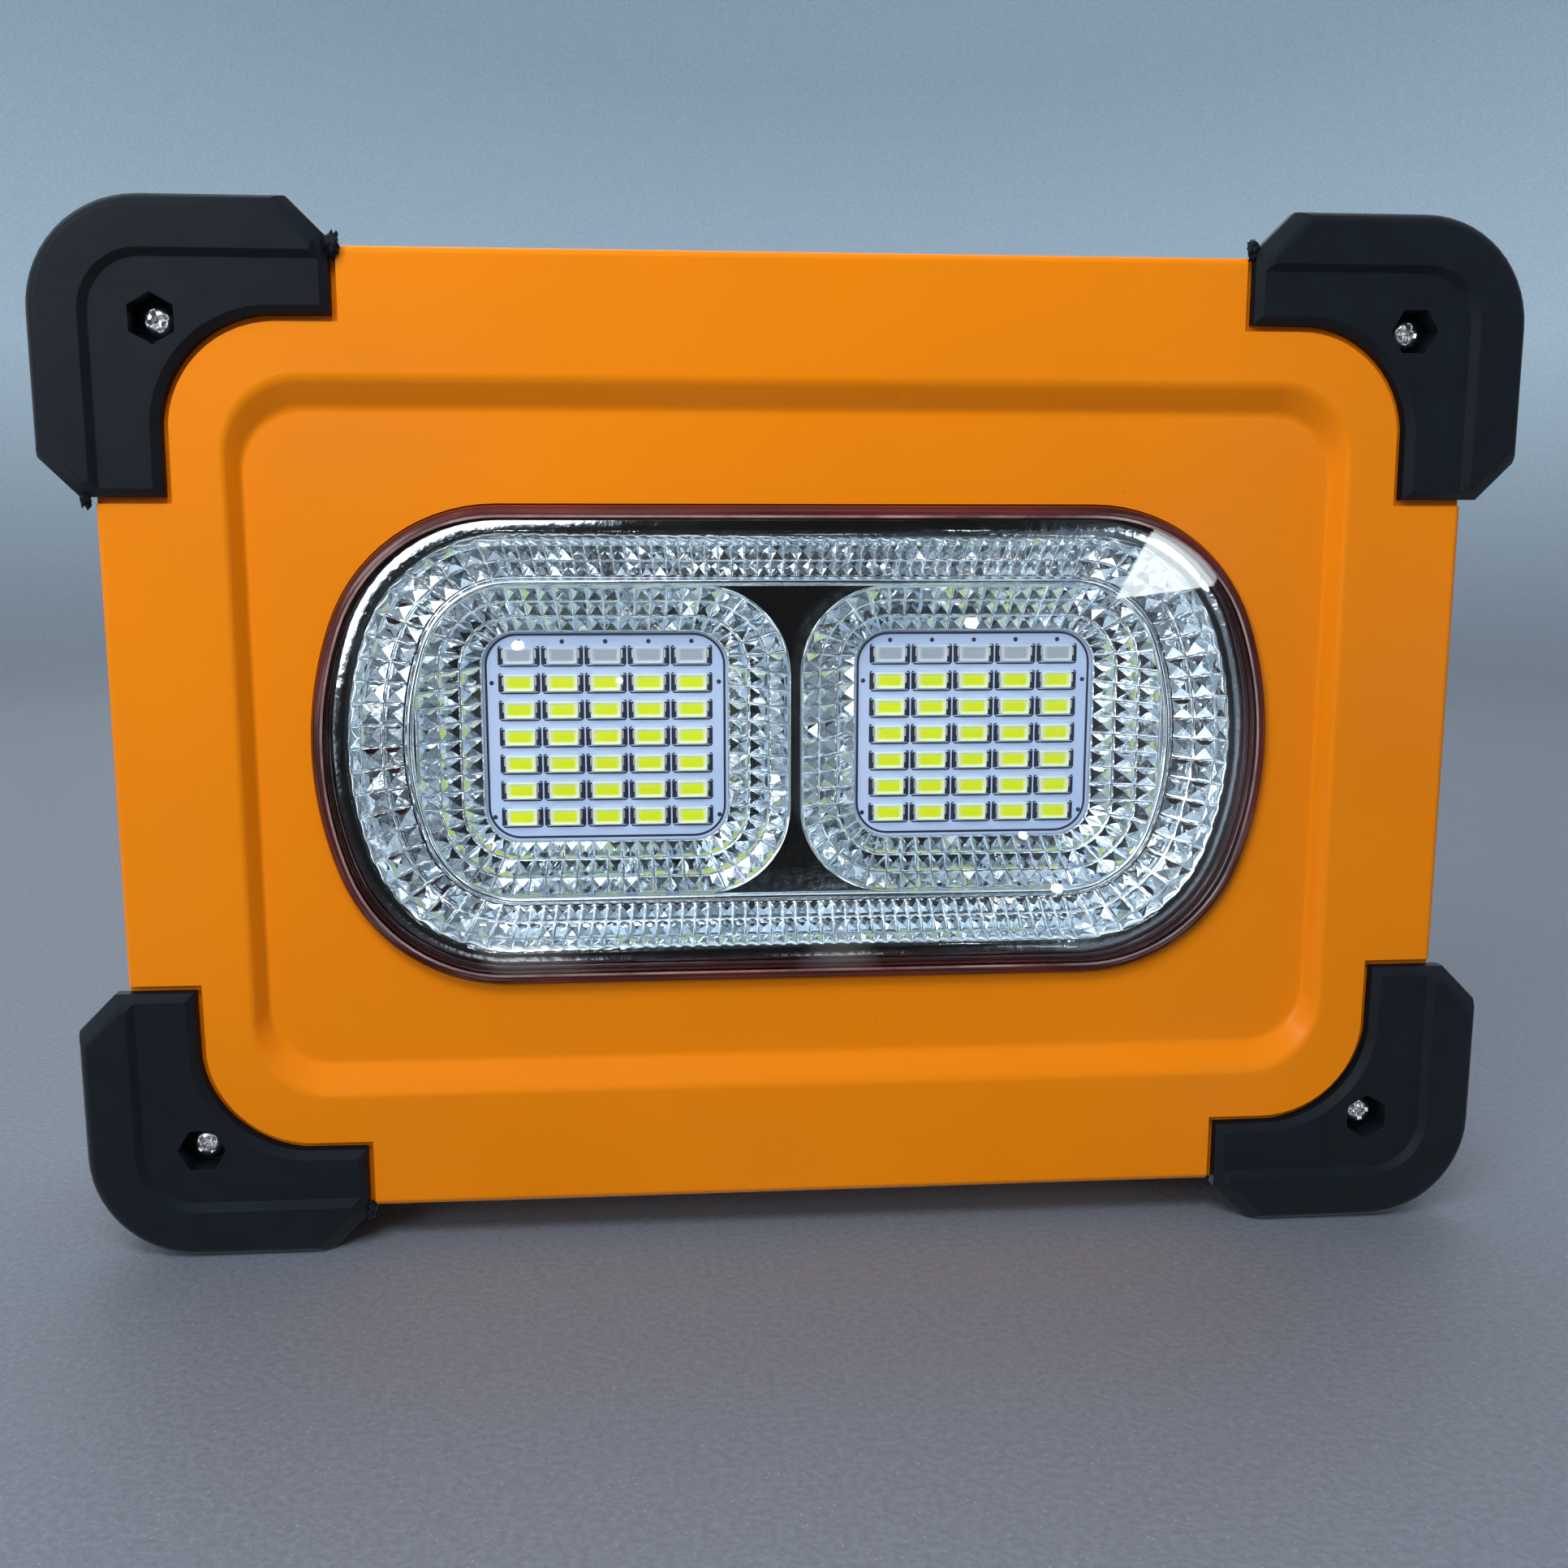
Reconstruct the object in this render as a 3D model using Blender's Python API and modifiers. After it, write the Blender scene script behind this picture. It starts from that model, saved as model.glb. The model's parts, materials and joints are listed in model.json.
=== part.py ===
"""Portable solar flood light, modelled as an assembly of separate parts.

The lamp stands on its lower corner bumpers. The light faces -Y, the long side runs along X.
Depths are measured backwards from the face of the front shell, and heights from the middle
of the case. All sizes are in metres.
"""
import math

import bmesh
import bpy
from mathutils import Vector

# Driving dimensions
GAP = 0.0003
CASE_HALF_X = 0.1093
CASE_HALF_Z = 0.0774
CASE_DEPTH = 0.048
CASE_CORNER_R = 0.011
CASE_EDGE_R = 0.0012
WALL = 0.0024
FRONT_DEPTH = 0.0272

BUMPER_HALF_X = 0.1170
BUMPER_HALF_Z = 0.0842
BUMPER_CORNER_R = 0.0175
BUMPER_LEG = 0.0447
BUMPER_CHAMFER = 0.0059
BUMPER_PROUD = 0.0019
RIM_RISE = 0.0012
RIM_WIDTH = 0.0080
RIM_SLOPE = 0.0013
BUMPER_EDGE = 0.0012
BUMPER_PLATE = 0.0034
WAIST_SLOPE = 0.0030
WAIST_INSET = 0.0036
WAIST_SHORTER = 0.0040
INNER_CORNER_X = 0.0806
INNER_CORNER_Z = 0.0490
INNER_CORNER_R = 0.0180
POCKET_DEPTH = 0.0016
POCKET_MARGIN = 0.0010
BOSS_POCKET_DEPTH = 0.0050
BOSS_POCKET_R = 0.0062

SCREW_X = 0.0986
SCREW_Z = 0.0660
SCREW_SEAT_DEPTH = 0.0032
SCREW_HOLE_R = 0.0021
SCREW_PILOT_R = 0.0020
SCREW_SIZES = (0.0026, 0.0020, 0.0015, 0.0370)
FRONT_BOSS_R = 0.0086
REAR_BOSS_R = 0.0056
HEX_FLATS = 0.0065

RECESS_DEPTH = 0.0030
RECESS_HALF_X = 0.0897
RECESS_HALF_Z = 0.0577
RECESS_CORNER_R = 0.012
RECESS_RUN_X = 0.0020
RECESS_RUN_Z = 0.0043

LAMP_Z = -0.0008
LENS_HALF_X = 0.0788
LENS_HALF_Z = 0.0393
LENS_CORNER_R = 0.0285
LENS_END_R = 0.0600
LENS_FRONT_DEPTH = 0.0008
LENS_BACK_DEPTH = 0.0044
LENS_TOP = 0.0020
LENS_WALL = 0.0025
LEDGE_DEPTH = 0.0056
LEDGE_BACK_DEPTH = 0.0076
LEDGE_WIDTH = 0.0030

BAND_DEPTH = 0.0072
DECK_DEPTH = 0.0100
DECK_PLATE = 0.0014
FLANGE_HALF_X = 0.0820
FLANGE_HALF_Z = 0.0430
FLANGE_CORNER_R = 0.0100
FLANGE_SCREW_X = 0.0760
FLANGE_SCREW_Z = 0.0370
FLANGE_BOSS_R = 0.0035
REFLECTOR_RIM_INSET = 0.0033
REFLECTOR_RIM_DEPTH = 0.0060
BAND_OUTER_INSET = 0.0044
BAND_INNER_INSET = 0.0130
WELL_X = 0.0321
WELL_HALF_X = 0.0313
WELL_HALF_Z = 0.0263
WELL_CORNER_R = 0.0150
WINDOW_HALF_X = 0.0210
WINDOW_HALF_Z = 0.0182
WINDOW_CORNER_R = 0.0060
WELL_WALL = 0.0013
WELL_BACK_DEPTH = 0.0185

LED_TOP_DEPTH = 0.0180
LED_HEIGHT = 0.0009
LED_HALF_X = 0.00285
LED_HALF_Z = 0.00150
LED_PITCH_X = 0.0074
LED_PITCH_Z = 0.00468
LED_COLUMNS = 5
LED_ROWS = 7
LED_BOARD_HALF_X = 0.0240
LED_BOARD_HALF_Z = 0.0212
BOARD_THICK = 0.0016
SPREADER_HALF_X = 0.0750
SPREADER_HALF_Z = 0.0240
SPREADER_THICK = 0.0015
POST_X = 0.0690
POST_Z = 0.0140
POST_R = 0.0032
SMALL_PILOT_R = 0.0014
SMALL_HOLE_R = 0.0018
SPREADER_CORNER_R = 0.0030
BOARD_CORNER_R = 0.0020
SPREADER_SCREW_SIZES = (0.0024, 0.0014, 0.0011, 0.0080)
FLANGE_SCREW_SIZES = (0.0024, 0.0014, 0.0011, 0.0055)

CELL_R = 0.0092
CELL_HALF = 0.0325
CELL_PITCH = 0.0194
CELL_DEPTH = 0.0328
CELL_MID_Z = -0.0020
SPACER_HEIGHT = 0.0090
SPACER_FLOOR = 0.0025
SPACER_HALF_X = 0.0410
SPACER_HALF_Y = 0.0080

CONTROL_X = 0.0960
CONTROL_HALF_Y = 0.0089
CONTROL_Y = 0.0119
CONTROL_LOW = -0.0380
CONTROL_HIGH = 0.0360
PORT_Y = 0.0134
USB_A_Z = -0.0130
USB_C_Z = -0.0285
BUTTON_Z = 0.0260
BUTTON_R = 0.0060
BUTTON_TRAVEL_GAP = 0.0009
LIGHT_Z = 0.0100
LIGHT_PITCH = 0.0038
COVER_MID_Z = -0.0200
COVER_HALF_Z = 0.0165
COVER_HINGE_Y = 0.0200
COVER_WIDTH = 0.0126
COVER_THICK = 0.0018

SOLAR_HALF_X = 0.0590
SOLAR_HALF_Z = 0.0420
SOLAR_Z = -0.0060
SOLAR_CORNER_R = 0.0020
SOLAR_THICK = 0.0020
SOLAR_RECESS = 0.0034
TAPE_THICK = 0.0006
TAPE_INSET = 0.0020
WIRE_HOLE_X = 0.0520
WIRE_HOLE_Z = -0.0380
WIRE_HOLE_R = 0.0024

STAND_R = 0.0025
STAND_X = 0.0660
STAND_HINGE_Z = 0.0500
STAND_BAR_Z = -0.0602
STAND_AXIS_DEPTH = 0.0448
STAND_BEND_R = 0.0090
STAND_PIN_BEND_R = 0.0050
STAND_PIN_END_X = 0.0534
CHANNEL_CLEAR = 0.0011
NOTCH_HALF_X = 0.0140
NOTCH_DEPTH = 0.0055
BACKING = 0.0020
CLIP_X0 = 0.0520
CLIP_X1 = 0.0604
CLIP_HALF_Z = 0.0112
CLIP_SCREW_Z = 0.0072
CLIP_TOP_DEPTH = 0.0493
CLIP_SEAT_DROP = 0.0022
CLIP_SCREW_SIZES = (0.0025, 0.0015, 0.0011, 0.0100)

# Placing: the case's middle height and its front face in the world
MID_Z = BUMPER_HALF_Z
FACE_Y = -CASE_DEPTH / 2
BACK_Y = CASE_DEPTH / 2
FRONT_END_Y = FACE_Y + FRONT_DEPTH
SEAL_THICK = 0.0006
REAR_START_Y = FRONT_END_Y + SEAL_THICK + 2 * GAP
STAND_AXIS_Y = FACE_Y + STAND_AXIS_DEPTH
CHANNEL_FLOOR_Y = STAND_AXIS_Y - STAND_R - 0.0004
BATTERY_Y = FACE_Y + CELL_DEPTH
CORNERS = {"tl": (-1, 1), "tr": (1, 1), "bl": (-1, -1), "br": (1, -1)}
SIDES = {"left": -1, "right": 1}


def clear_scene():
    for thing in list(bpy.data.objects):
        bpy.data.objects.remove(thing, do_unlink=True)


def new_collection(name):
    collection = bpy.data.collections.new(name)
    bpy.context.scene.collection.children.link(collection)
    return collection


clear_scene()
PARTS = new_collection("solar_flood_light")
CUTTERS = new_collection("cutters")


# Helpers: depth, height, materials, outlines

def depth(value):
    """World Y of a depth behind the face of the front shell."""
    return FACE_Y + value


def height(value):
    """World Z of a height above the middle of the case."""
    return MID_Z + value


def paint(thing, colour, roughness, metallic=0.0, alpha=1.0):
    material = bpy.data.materials.new(thing.name)
    material.use_nodes = True
    shader = material.node_tree.nodes["Principled BSDF"]
    shader.inputs["Base Color"].default_value = (*colour, 1.0)
    shader.inputs["Roughness"].default_value = roughness
    shader.inputs["Metallic"].default_value = metallic
    shader.inputs["Alpha"].default_value = alpha
    thing.data.materials.clear()
    thing.data.materials.append(material)


def as_part(thing, colour, roughness, metallic=0.0, alpha=1.0):
    """Keep a finished object as a named part with its own material."""
    for collection in list(thing.users_collection):
        collection.objects.unlink(thing)
    PARTS.objects.link(thing)
    thing.hide_render = False
    thing.display_type = "TEXTURED"
    paint(thing, colour, roughness, metallic, alpha)
    return thing


def as_tool(thing):
    """Put an object with the cutters, out of the render."""
    CUTTERS.objects.link(thing)
    thing.hide_render = True
    thing.display_type = "WIRE"
    return thing


def combine(target, tool, operation):
    modifier = target.modifiers.new(tool.name, "BOOLEAN")
    modifier.operation = operation
    modifier.solver = "EXACT"
    modifier.object = tool


def cut(target, *tools):
    for tool in tools:
        combine(target, tool, "DIFFERENCE")


def join(target, *tools):
    for tool in tools:
        combine(target, tool, "UNION")


def mesh_object(name, shape):
    bmesh.ops.recalc_face_normals(shape, faces=shape.faces)
    mesh = bpy.data.meshes.new(name)
    shape.to_mesh(mesh)
    shape.free()
    return as_tool(bpy.data.objects.new(name, mesh))


def shade_round(thing):
    thing.data.shade_smooth()
    thing.data.set_sharp_from_angle(angle=math.radians(35))
    return thing


def box(name, x_range, y_range, z_range):
    """A box between world planes; z is a height above the middle of the case."""
    low = Vector((min(x_range), min(y_range), height(min(z_range))))
    high = Vector((max(x_range), max(y_range), height(max(z_range))))
    shape = bmesh.new()
    bmesh.ops.create_cube(shape, size=1.0)
    for vert in shape.verts:
        vert.co = (low + high) / 2 + (high - low) * vert.co
    return mesh_object(name, shape)


def rod(name, start, end, radius, segments=16, phase=0.0):
    """A cylinder between two points (x, world y, height)."""
    low, high = sorted((start, end), key=lambda point: (point[2], point[1], point[0]))
    first = Vector((low[0], low[1], height(low[2])))
    last = Vector((high[0], high[1], height(high[2])))
    axis = last - first
    turn = Vector((0, 0, 1)).rotation_difference(axis).to_matrix().to_4x4()
    shape = bmesh.new()
    bmesh.ops.create_cone(shape, cap_ends=True, segments=segments, radius1=radius,
                          radius2=radius, depth=axis.length)
    for vert in shape.verts:
        flat = Vector((vert.co.x * math.cos(phase) - vert.co.y * math.sin(phase),
                       vert.co.x * math.sin(phase) + vert.co.y * math.cos(phase), vert.co.z))
        vert.co = (first + last) / 2 + turn @ flat
    return shade_round(mesh_object(name, shape))


def solid_from_curve(thing):
    """Turn a curve object into a welded mesh in the same place."""
    bpy.context.view_layer.update()
    evaluated = thing.evaluated_get(bpy.context.evaluated_depsgraph_get())
    mesh = bpy.data.meshes.new_from_object(evaluated)
    place = thing.matrix_world.copy()
    name = thing.name
    bpy.data.objects.remove(thing, do_unlink=True)
    shape = bmesh.new()
    shape.from_mesh(mesh)
    bmesh.ops.remove_doubles(shape, verts=shape.verts, dist=0.00001)
    solid = mesh_object(name, shape)
    solid.matrix_world = place
    return solid


def plate(name, outline, y_front, y_back):
    """A flat outline of (x, height) points, filled and made thick along Y."""
    curve = bpy.data.curves.new(name, "CURVE")
    curve.dimensions = "2D"
    curve.fill_mode = "BOTH"
    curve.extrude = (y_back - y_front) / 2
    spline = curve.splines.new("POLY")
    spline.points.add(len(outline) - 1)
    for point, (x, z) in zip(spline.points, outline):
        point.co = (x, z, 0, 1)
    spline.use_cyclic_u = True
    flat = bpy.data.objects.new(name, curve)
    CUTTERS.objects.link(flat)
    flat.rotation_euler = (math.pi / 2, 0, 0)
    flat.location = (0, (y_front + y_back) / 2, MID_Z)
    return solid_from_curve(flat)


def loft(name, rings):
    """A closed solid through (world y, outline) rings with equally many points."""
    shape = bmesh.new()
    loops = [[shape.verts.new((x, y, height(z))) for x, z in outline] for y, outline in rings]
    for near, far in zip(loops, loops[1:]):
        for i in range(len(near)):
            shape.faces.new((near[i - 1], near[i], far[i], far[i - 1]))
    shape.faces.new(loops[0])
    shape.faces.new(loops[-1])
    return mesh_object(name, shape)


def tube(name, route, radius, sides_setting=2, samples=4):
    """A round wire through hand-placed route points (x, world y, height)."""
    points = smooth_route(route, samples)
    curve = bpy.data.curves.new(name, "CURVE")
    curve.dimensions = "3D"
    curve.bevel_depth = radius
    curve.bevel_resolution = sides_setting
    curve.use_fill_caps = True
    spline = curve.splines.new("POLY")
    spline.points.add(len(points) - 1)
    for point, (x, y, z) in zip(spline.points, points):
        point.co = (x, y, height(z), 1)
    wire = bpy.data.objects.new(name, curve)
    CUTTERS.objects.link(wire)
    return wire


def smooth_route(route, samples):
    """Points of a Catmull-Rom curve through the route."""
    if samples == 1:
        return route
    ends = [route[0]] + list(route) + [route[-1]]
    points = []
    for before, start, end, after in zip(ends, ends[1:], ends[2:], ends[3:]):
        for step in range(samples):
            t = step / samples
            point = []
            for a, b, c, d in zip(before, start, end, after):
                point.append(b + t * (c - a) / 2 + t * t * (a - 2.5 * b + 2 * c - d / 2)
                             + t ** 3 * (1.5 * (b - c) + (d - a) / 2))
            points.append(tuple(point))
    return points + [tuple(route[-1])]


def turned(name, profile, steps):
    """A profile of (radius, z) points, top to bottom, spun about Z into a closed solid."""
    mesh = bpy.data.meshes.new(name)
    edges = [(i, i + 1) for i in range(len(profile) - 1)]
    mesh.from_pydata([(radius, 0, z) for radius, z in profile], edges, [])
    thing = as_tool(bpy.data.objects.new(name, mesh))
    spin = thing.modifiers.new("spin", "SCREW")
    spin.steps = steps
    spin.render_steps = steps
    spin.use_merge_vertices = True
    spin.merge_threshold = 0.00005
    spin.use_smooth_shade = False
    return thing


def arc(centre_x, centre_z, radius, start, end, steps):
    """Points of an arc, angles in degrees, both ends included."""
    points = []
    for step in range(steps + 1):
        angle = math.radians(start + (end - start) * step / steps)
        points.append((centre_x + radius * math.cos(angle), centre_z + radius * math.sin(angle)))
    return points


def rounded_rect(half_x, half_z, radius, steps=4, x=0.0, z=0.0):
    points = []
    for quarter, (side_x, side_z) in enumerate(((1, 1), (-1, 1), (-1, -1), (1, -1))):
        points += arc(x + side_x * (half_x - radius), z + side_z * (half_z - radius), radius,
                      90 * quarter, 90 * quarter + 90, steps)
    return points


def lens_outline(grow=0.0):
    """Straight long sides, round corners and bowed ends; grow moves the outline outwards."""
    corner = LENS_CORNER_R + grow
    end = LENS_END_R + grow
    corner_z = LENS_HALF_Z - LENS_CORNER_R
    end_x = LENS_HALF_X - LENS_END_R
    reach = math.sqrt((LENS_END_R - LENS_CORNER_R) ** 2 - corner_z ** 2)
    meet = math.degrees(math.atan2(corner_z, reach))
    quarter = arc(end_x, 0, end, 0, meet, 3)[:-1]
    quarter += arc(end_x + reach, corner_z, corner, meet, 90, 6)
    top_left = [(-x, z) for x, z in reversed(quarter)]
    bottom_left = [(-x, -z) for x, z in quarter[1:]]
    bottom_right = [(x, -z) for x, z in reversed(quarter[1:])]
    return [(x, z + LAMP_Z) for x, z in quarter + top_left + bottom_left + bottom_right]


def bumper_outline(corner, outer_inset=0.0, inner_inset=0.0):
    """L-shaped face of a bumper. The insets draw in its outer side and its inner side."""
    end_x = BUMPER_HALF_X - BUMPER_LEG + inner_inset
    end_z = BUMPER_HALF_Z - BUMPER_LEG + inner_inset
    far_x = BUMPER_HALF_X - outer_inset
    far_z = BUMPER_HALF_Z - outer_inset
    outer_r = BUMPER_CORNER_R - outer_inset
    inner_r = INNER_CORNER_R + inner_inset
    points = [(INNER_CORNER_X + inner_r, end_z), (far_x - BUMPER_CHAMFER, end_z),
              (far_x, end_z + BUMPER_CHAMFER)]
    points += arc(far_x - outer_r, far_z - outer_r, outer_r, 0, 90, 6)
    points += [(end_x + BUMPER_CHAMFER, far_z), (end_x, far_z - BUMPER_CHAMFER),
               (end_x, INNER_CORNER_Z + inner_r)]
    points += arc(INNER_CORNER_X, INNER_CORNER_Z, inner_r, 90, 0, 6)
    return mirrored(points, corner)


def pocket_outline(corner, margin):
    """Cut for a bumper: its inner side moved in by the margin, and open past the case."""
    end_x = BUMPER_HALF_X - BUMPER_LEG - margin
    end_z = BUMPER_HALF_Z - BUMPER_LEG - margin
    inner_r = INNER_CORNER_R - margin
    points = [(INNER_CORNER_X + inner_r, end_z), (BUMPER_HALF_X, end_z),
              (BUMPER_HALF_X, BUMPER_HALF_Z), (end_x, BUMPER_HALF_Z),
              (end_x, INNER_CORNER_Z + inner_r)]
    points += arc(INNER_CORNER_X, INNER_CORNER_Z, inner_r, 90, 0, 6)[:-1]
    return mirrored(points, corner)


def mirrored(points, corner):
    side_x, side_z = corner
    return [(side_x * x, side_z * z) for x, z in points]


def channel_outline(half_width, top):
    """The U-shaped groove that the stand lies in."""
    outer_x = STAND_X + half_width
    inner_x = STAND_X - half_width
    low = STAND_BAR_Z - half_width
    high = STAND_BAR_Z + half_width
    outer_r = STAND_BEND_R + half_width
    inner_r = STAND_BEND_R - half_width
    points = [(outer_x, top)]
    points += arc(outer_x - outer_r, low + outer_r, outer_r, 0, -90, 4)
    points += arc(-outer_x + outer_r, low + outer_r, outer_r, -90, -180, 4)
    points += [(-outer_x, top), (-inner_x, top)]
    points += arc(-inner_x + inner_r, high + inner_r, inner_r, 180, 270, 3)
    points += arc(inner_x - inner_r, high + inner_r, inner_r, 270, 360, 3)
    return points + [(inner_x, top)]


def case_outline(inset=0.0):
    return rounded_rect(CASE_HALF_X - inset, CASE_HALF_Z - inset, CASE_CORNER_R - inset)


def edge_rings(y_edge, inward, outline):
    """Rings that round the outer edge of the case, from its flat face inwards."""
    rings = []
    for angle in (0, 45, 90):
        turn = math.radians(angle)
        y = y_edge + inward * CASE_EDGE_R * (1 - math.cos(turn))
        rings.append((y, outline(CASE_EDGE_R * (1 - math.sin(turn)))))
    return rings


# Case

def recess_step(name, grow, start_y):
    """The sloped step down to the front panel, grown outwards and backwards by a margin."""
    top = rounded_rect(RECESS_HALF_X + grow, RECESS_HALF_Z + grow, RECESS_CORNER_R + grow)
    bottom = rounded_rect(RECESS_HALF_X - RECESS_RUN_X + grow,
                          RECESS_HALF_Z - RECESS_RUN_Z + grow,
                          RECESS_CORNER_R - RECESS_RUN_X + grow)
    return loft(name, [(start_y, top), (depth(grow), top), (depth(RECESS_DEPTH + grow), bottom)])


def make_front_shell():
    rings = edge_rings(FACE_Y, 1, case_outline)
    shell = loft("front_shell", rings + [(FRONT_END_Y, case_outline())])
    hollow = loft("front_hollow", [(depth(WALL), case_outline(WALL)),
                                   (FRONT_END_Y + 0.001, case_outline(WALL))])
    cut(hollow, recess_step("panel_backing", WALL, depth(0.0005)))
    cut(hollow, plate("ledge_backing", lens_outline(0.0022), depth(0.0040),
                      depth(LEDGE_BACK_DEPTH)))
    for tag, corner in CORNERS.items():
        cut(hollow, plate("pocket_backing_" + tag, pocket_outline(corner, POCKET_MARGIN + BACKING),
                          depth(0.0005), depth(POCKET_DEPTH + WALL)))
        x, z = corner[0] * SCREW_X, corner[1] * SCREW_Z
        cut(hollow, rod("front_boss_" + tag, (x, depth(0.001), z),
                        (x, FRONT_END_Y + 0.002, z), FRONT_BOSS_R))
        x, z = corner[0] * FLANGE_SCREW_X, LAMP_Z + corner[1] * FLANGE_SCREW_Z
        cut(hollow, rod("reflector_boss_" + tag, (x, depth(0.004), z),
                        (x, depth(DECK_DEPTH - GAP), z), FLANGE_BOSS_R, 12))
    cut(shell, hollow, recess_step("recess", 0.0, depth(-0.001)))
    cut(shell, plate("lens_rebate", lens_outline(0.00035), depth(0.001), depth(LEDGE_DEPTH)))
    cut(shell, plate("lens_opening", lens_outline(-LEDGE_WIDTH), depth(0.003), depth(0.012)))
    for tag, corner in CORNERS.items():
        cut(shell, plate("pocket_" + tag, pocket_outline(corner, POCKET_MARGIN),
                         depth(-0.002), depth(POCKET_DEPTH)))
        x, z = corner[0] * SCREW_X, corner[1] * SCREW_Z
        cut(shell, rod("boss_pocket_" + tag, (x, depth(0), z),
                       (x, depth(BOSS_POCKET_DEPTH), z), BOSS_POCKET_R))
        cut(shell, rod("front_screw_hole_" + tag, (x, depth(0.003), z),
                       (x, depth(0.032), z), SCREW_HOLE_R, 12))
        x, z = corner[0] * FLANGE_SCREW_X, LAMP_Z + corner[1] * FLANGE_SCREW_Z
        cut(shell, rod("reflector_pilot_" + tag, (x, depth(0.0046), z),
                       (x, depth(0.012), z), SMALL_PILOT_R, 8))
    as_part(shell, (0.80, 0.28, 0.012), 0.38)


def rear_hollow():
    """The inside of the rear cover, with material left for walls, bosses and ribs."""
    start = REAR_START_Y - 0.001
    hollow = loft("rear_hollow", [(start, case_outline(WALL)),
                                  (BACK_Y - WALL, case_outline(WALL))])
    cut(hollow, plate("channel_backing", channel_outline(STAND_R + CHANNEL_CLEAR + BACKING,
                                                         CASE_HALF_Z),
                      CHANNEL_FLOOR_Y - BACKING, BACK_Y))
    cut(hollow, plate("solar_backing", rounded_rect(SOLAR_HALF_X + BACKING,
                                                    SOLAR_HALF_Z + BACKING, 0.004, z=SOLAR_Z),
                      BACK_Y - SOLAR_RECESS - BACKING, BACK_Y))
    for tag, corner in CORNERS.items():
        cut(hollow, plate("rear_backing_" + tag, pocket_outline(corner, POCKET_MARGIN + BACKING),
                          BACK_Y - POCKET_DEPTH - WALL, BACK_Y))
        x, z = corner[0] * SCREW_X, corner[1] * SCREW_Z
        cut(hollow, rod("rear_boss_" + tag, (x, start - 0.001, z), (x, BACK_Y, z), REAR_BOSS_R))
    for side, sign in SIDES.items():
        cut(hollow, box("clip_backing_" + side,
                        (sign * (CLIP_X0 - 0.003), sign * (CLIP_X1 + 0.002)),
                        (CHANNEL_FLOOR_Y - 0.002, BACK_Y),
                        (STAND_HINGE_Z - CLIP_HALF_Z - 0.002, STAND_HINGE_Z + CLIP_HALF_Z + 0.002)))
        for spot in (-1, 1):
            z = STAND_HINGE_Z + spot * CLIP_SCREW_Z
            x = sign * (CLIP_X0 + CLIP_X1) / 2
            cut(hollow, rod("clip_boss_" + side + str(spot), (x, CHANNEL_FLOOR_Y - 0.0085, z),
                            (x, BACK_Y, z), 0.0030, 10))
    for low, high in ((CONTROL_LOW - 0.0035, CONTROL_LOW + 0.0015),
                      (CONTROL_HIGH - 0.0015, CONTROL_HIGH + 0.0035)):
        cut(hollow, box("board_rail", (CONTROL_X - 0.0028, CONTROL_X + 0.0028),
                        (REAR_START_Y + 0.003, BACK_Y), (low, high)))
    for sign in (-1, 1):
        inner = SPACER_HALF_X + GAP
        for end in (-1, 1):
            z = CELL_MID_Z + end * (CELL_HALF + 0.002)
            cut(hollow, box("battery_stop", (sign * inner, sign * (inner + 0.002)),
                            (BATTERY_Y - 0.002, BACK_Y), (z - 0.003, z + 0.003)))
    return hollow


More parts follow.
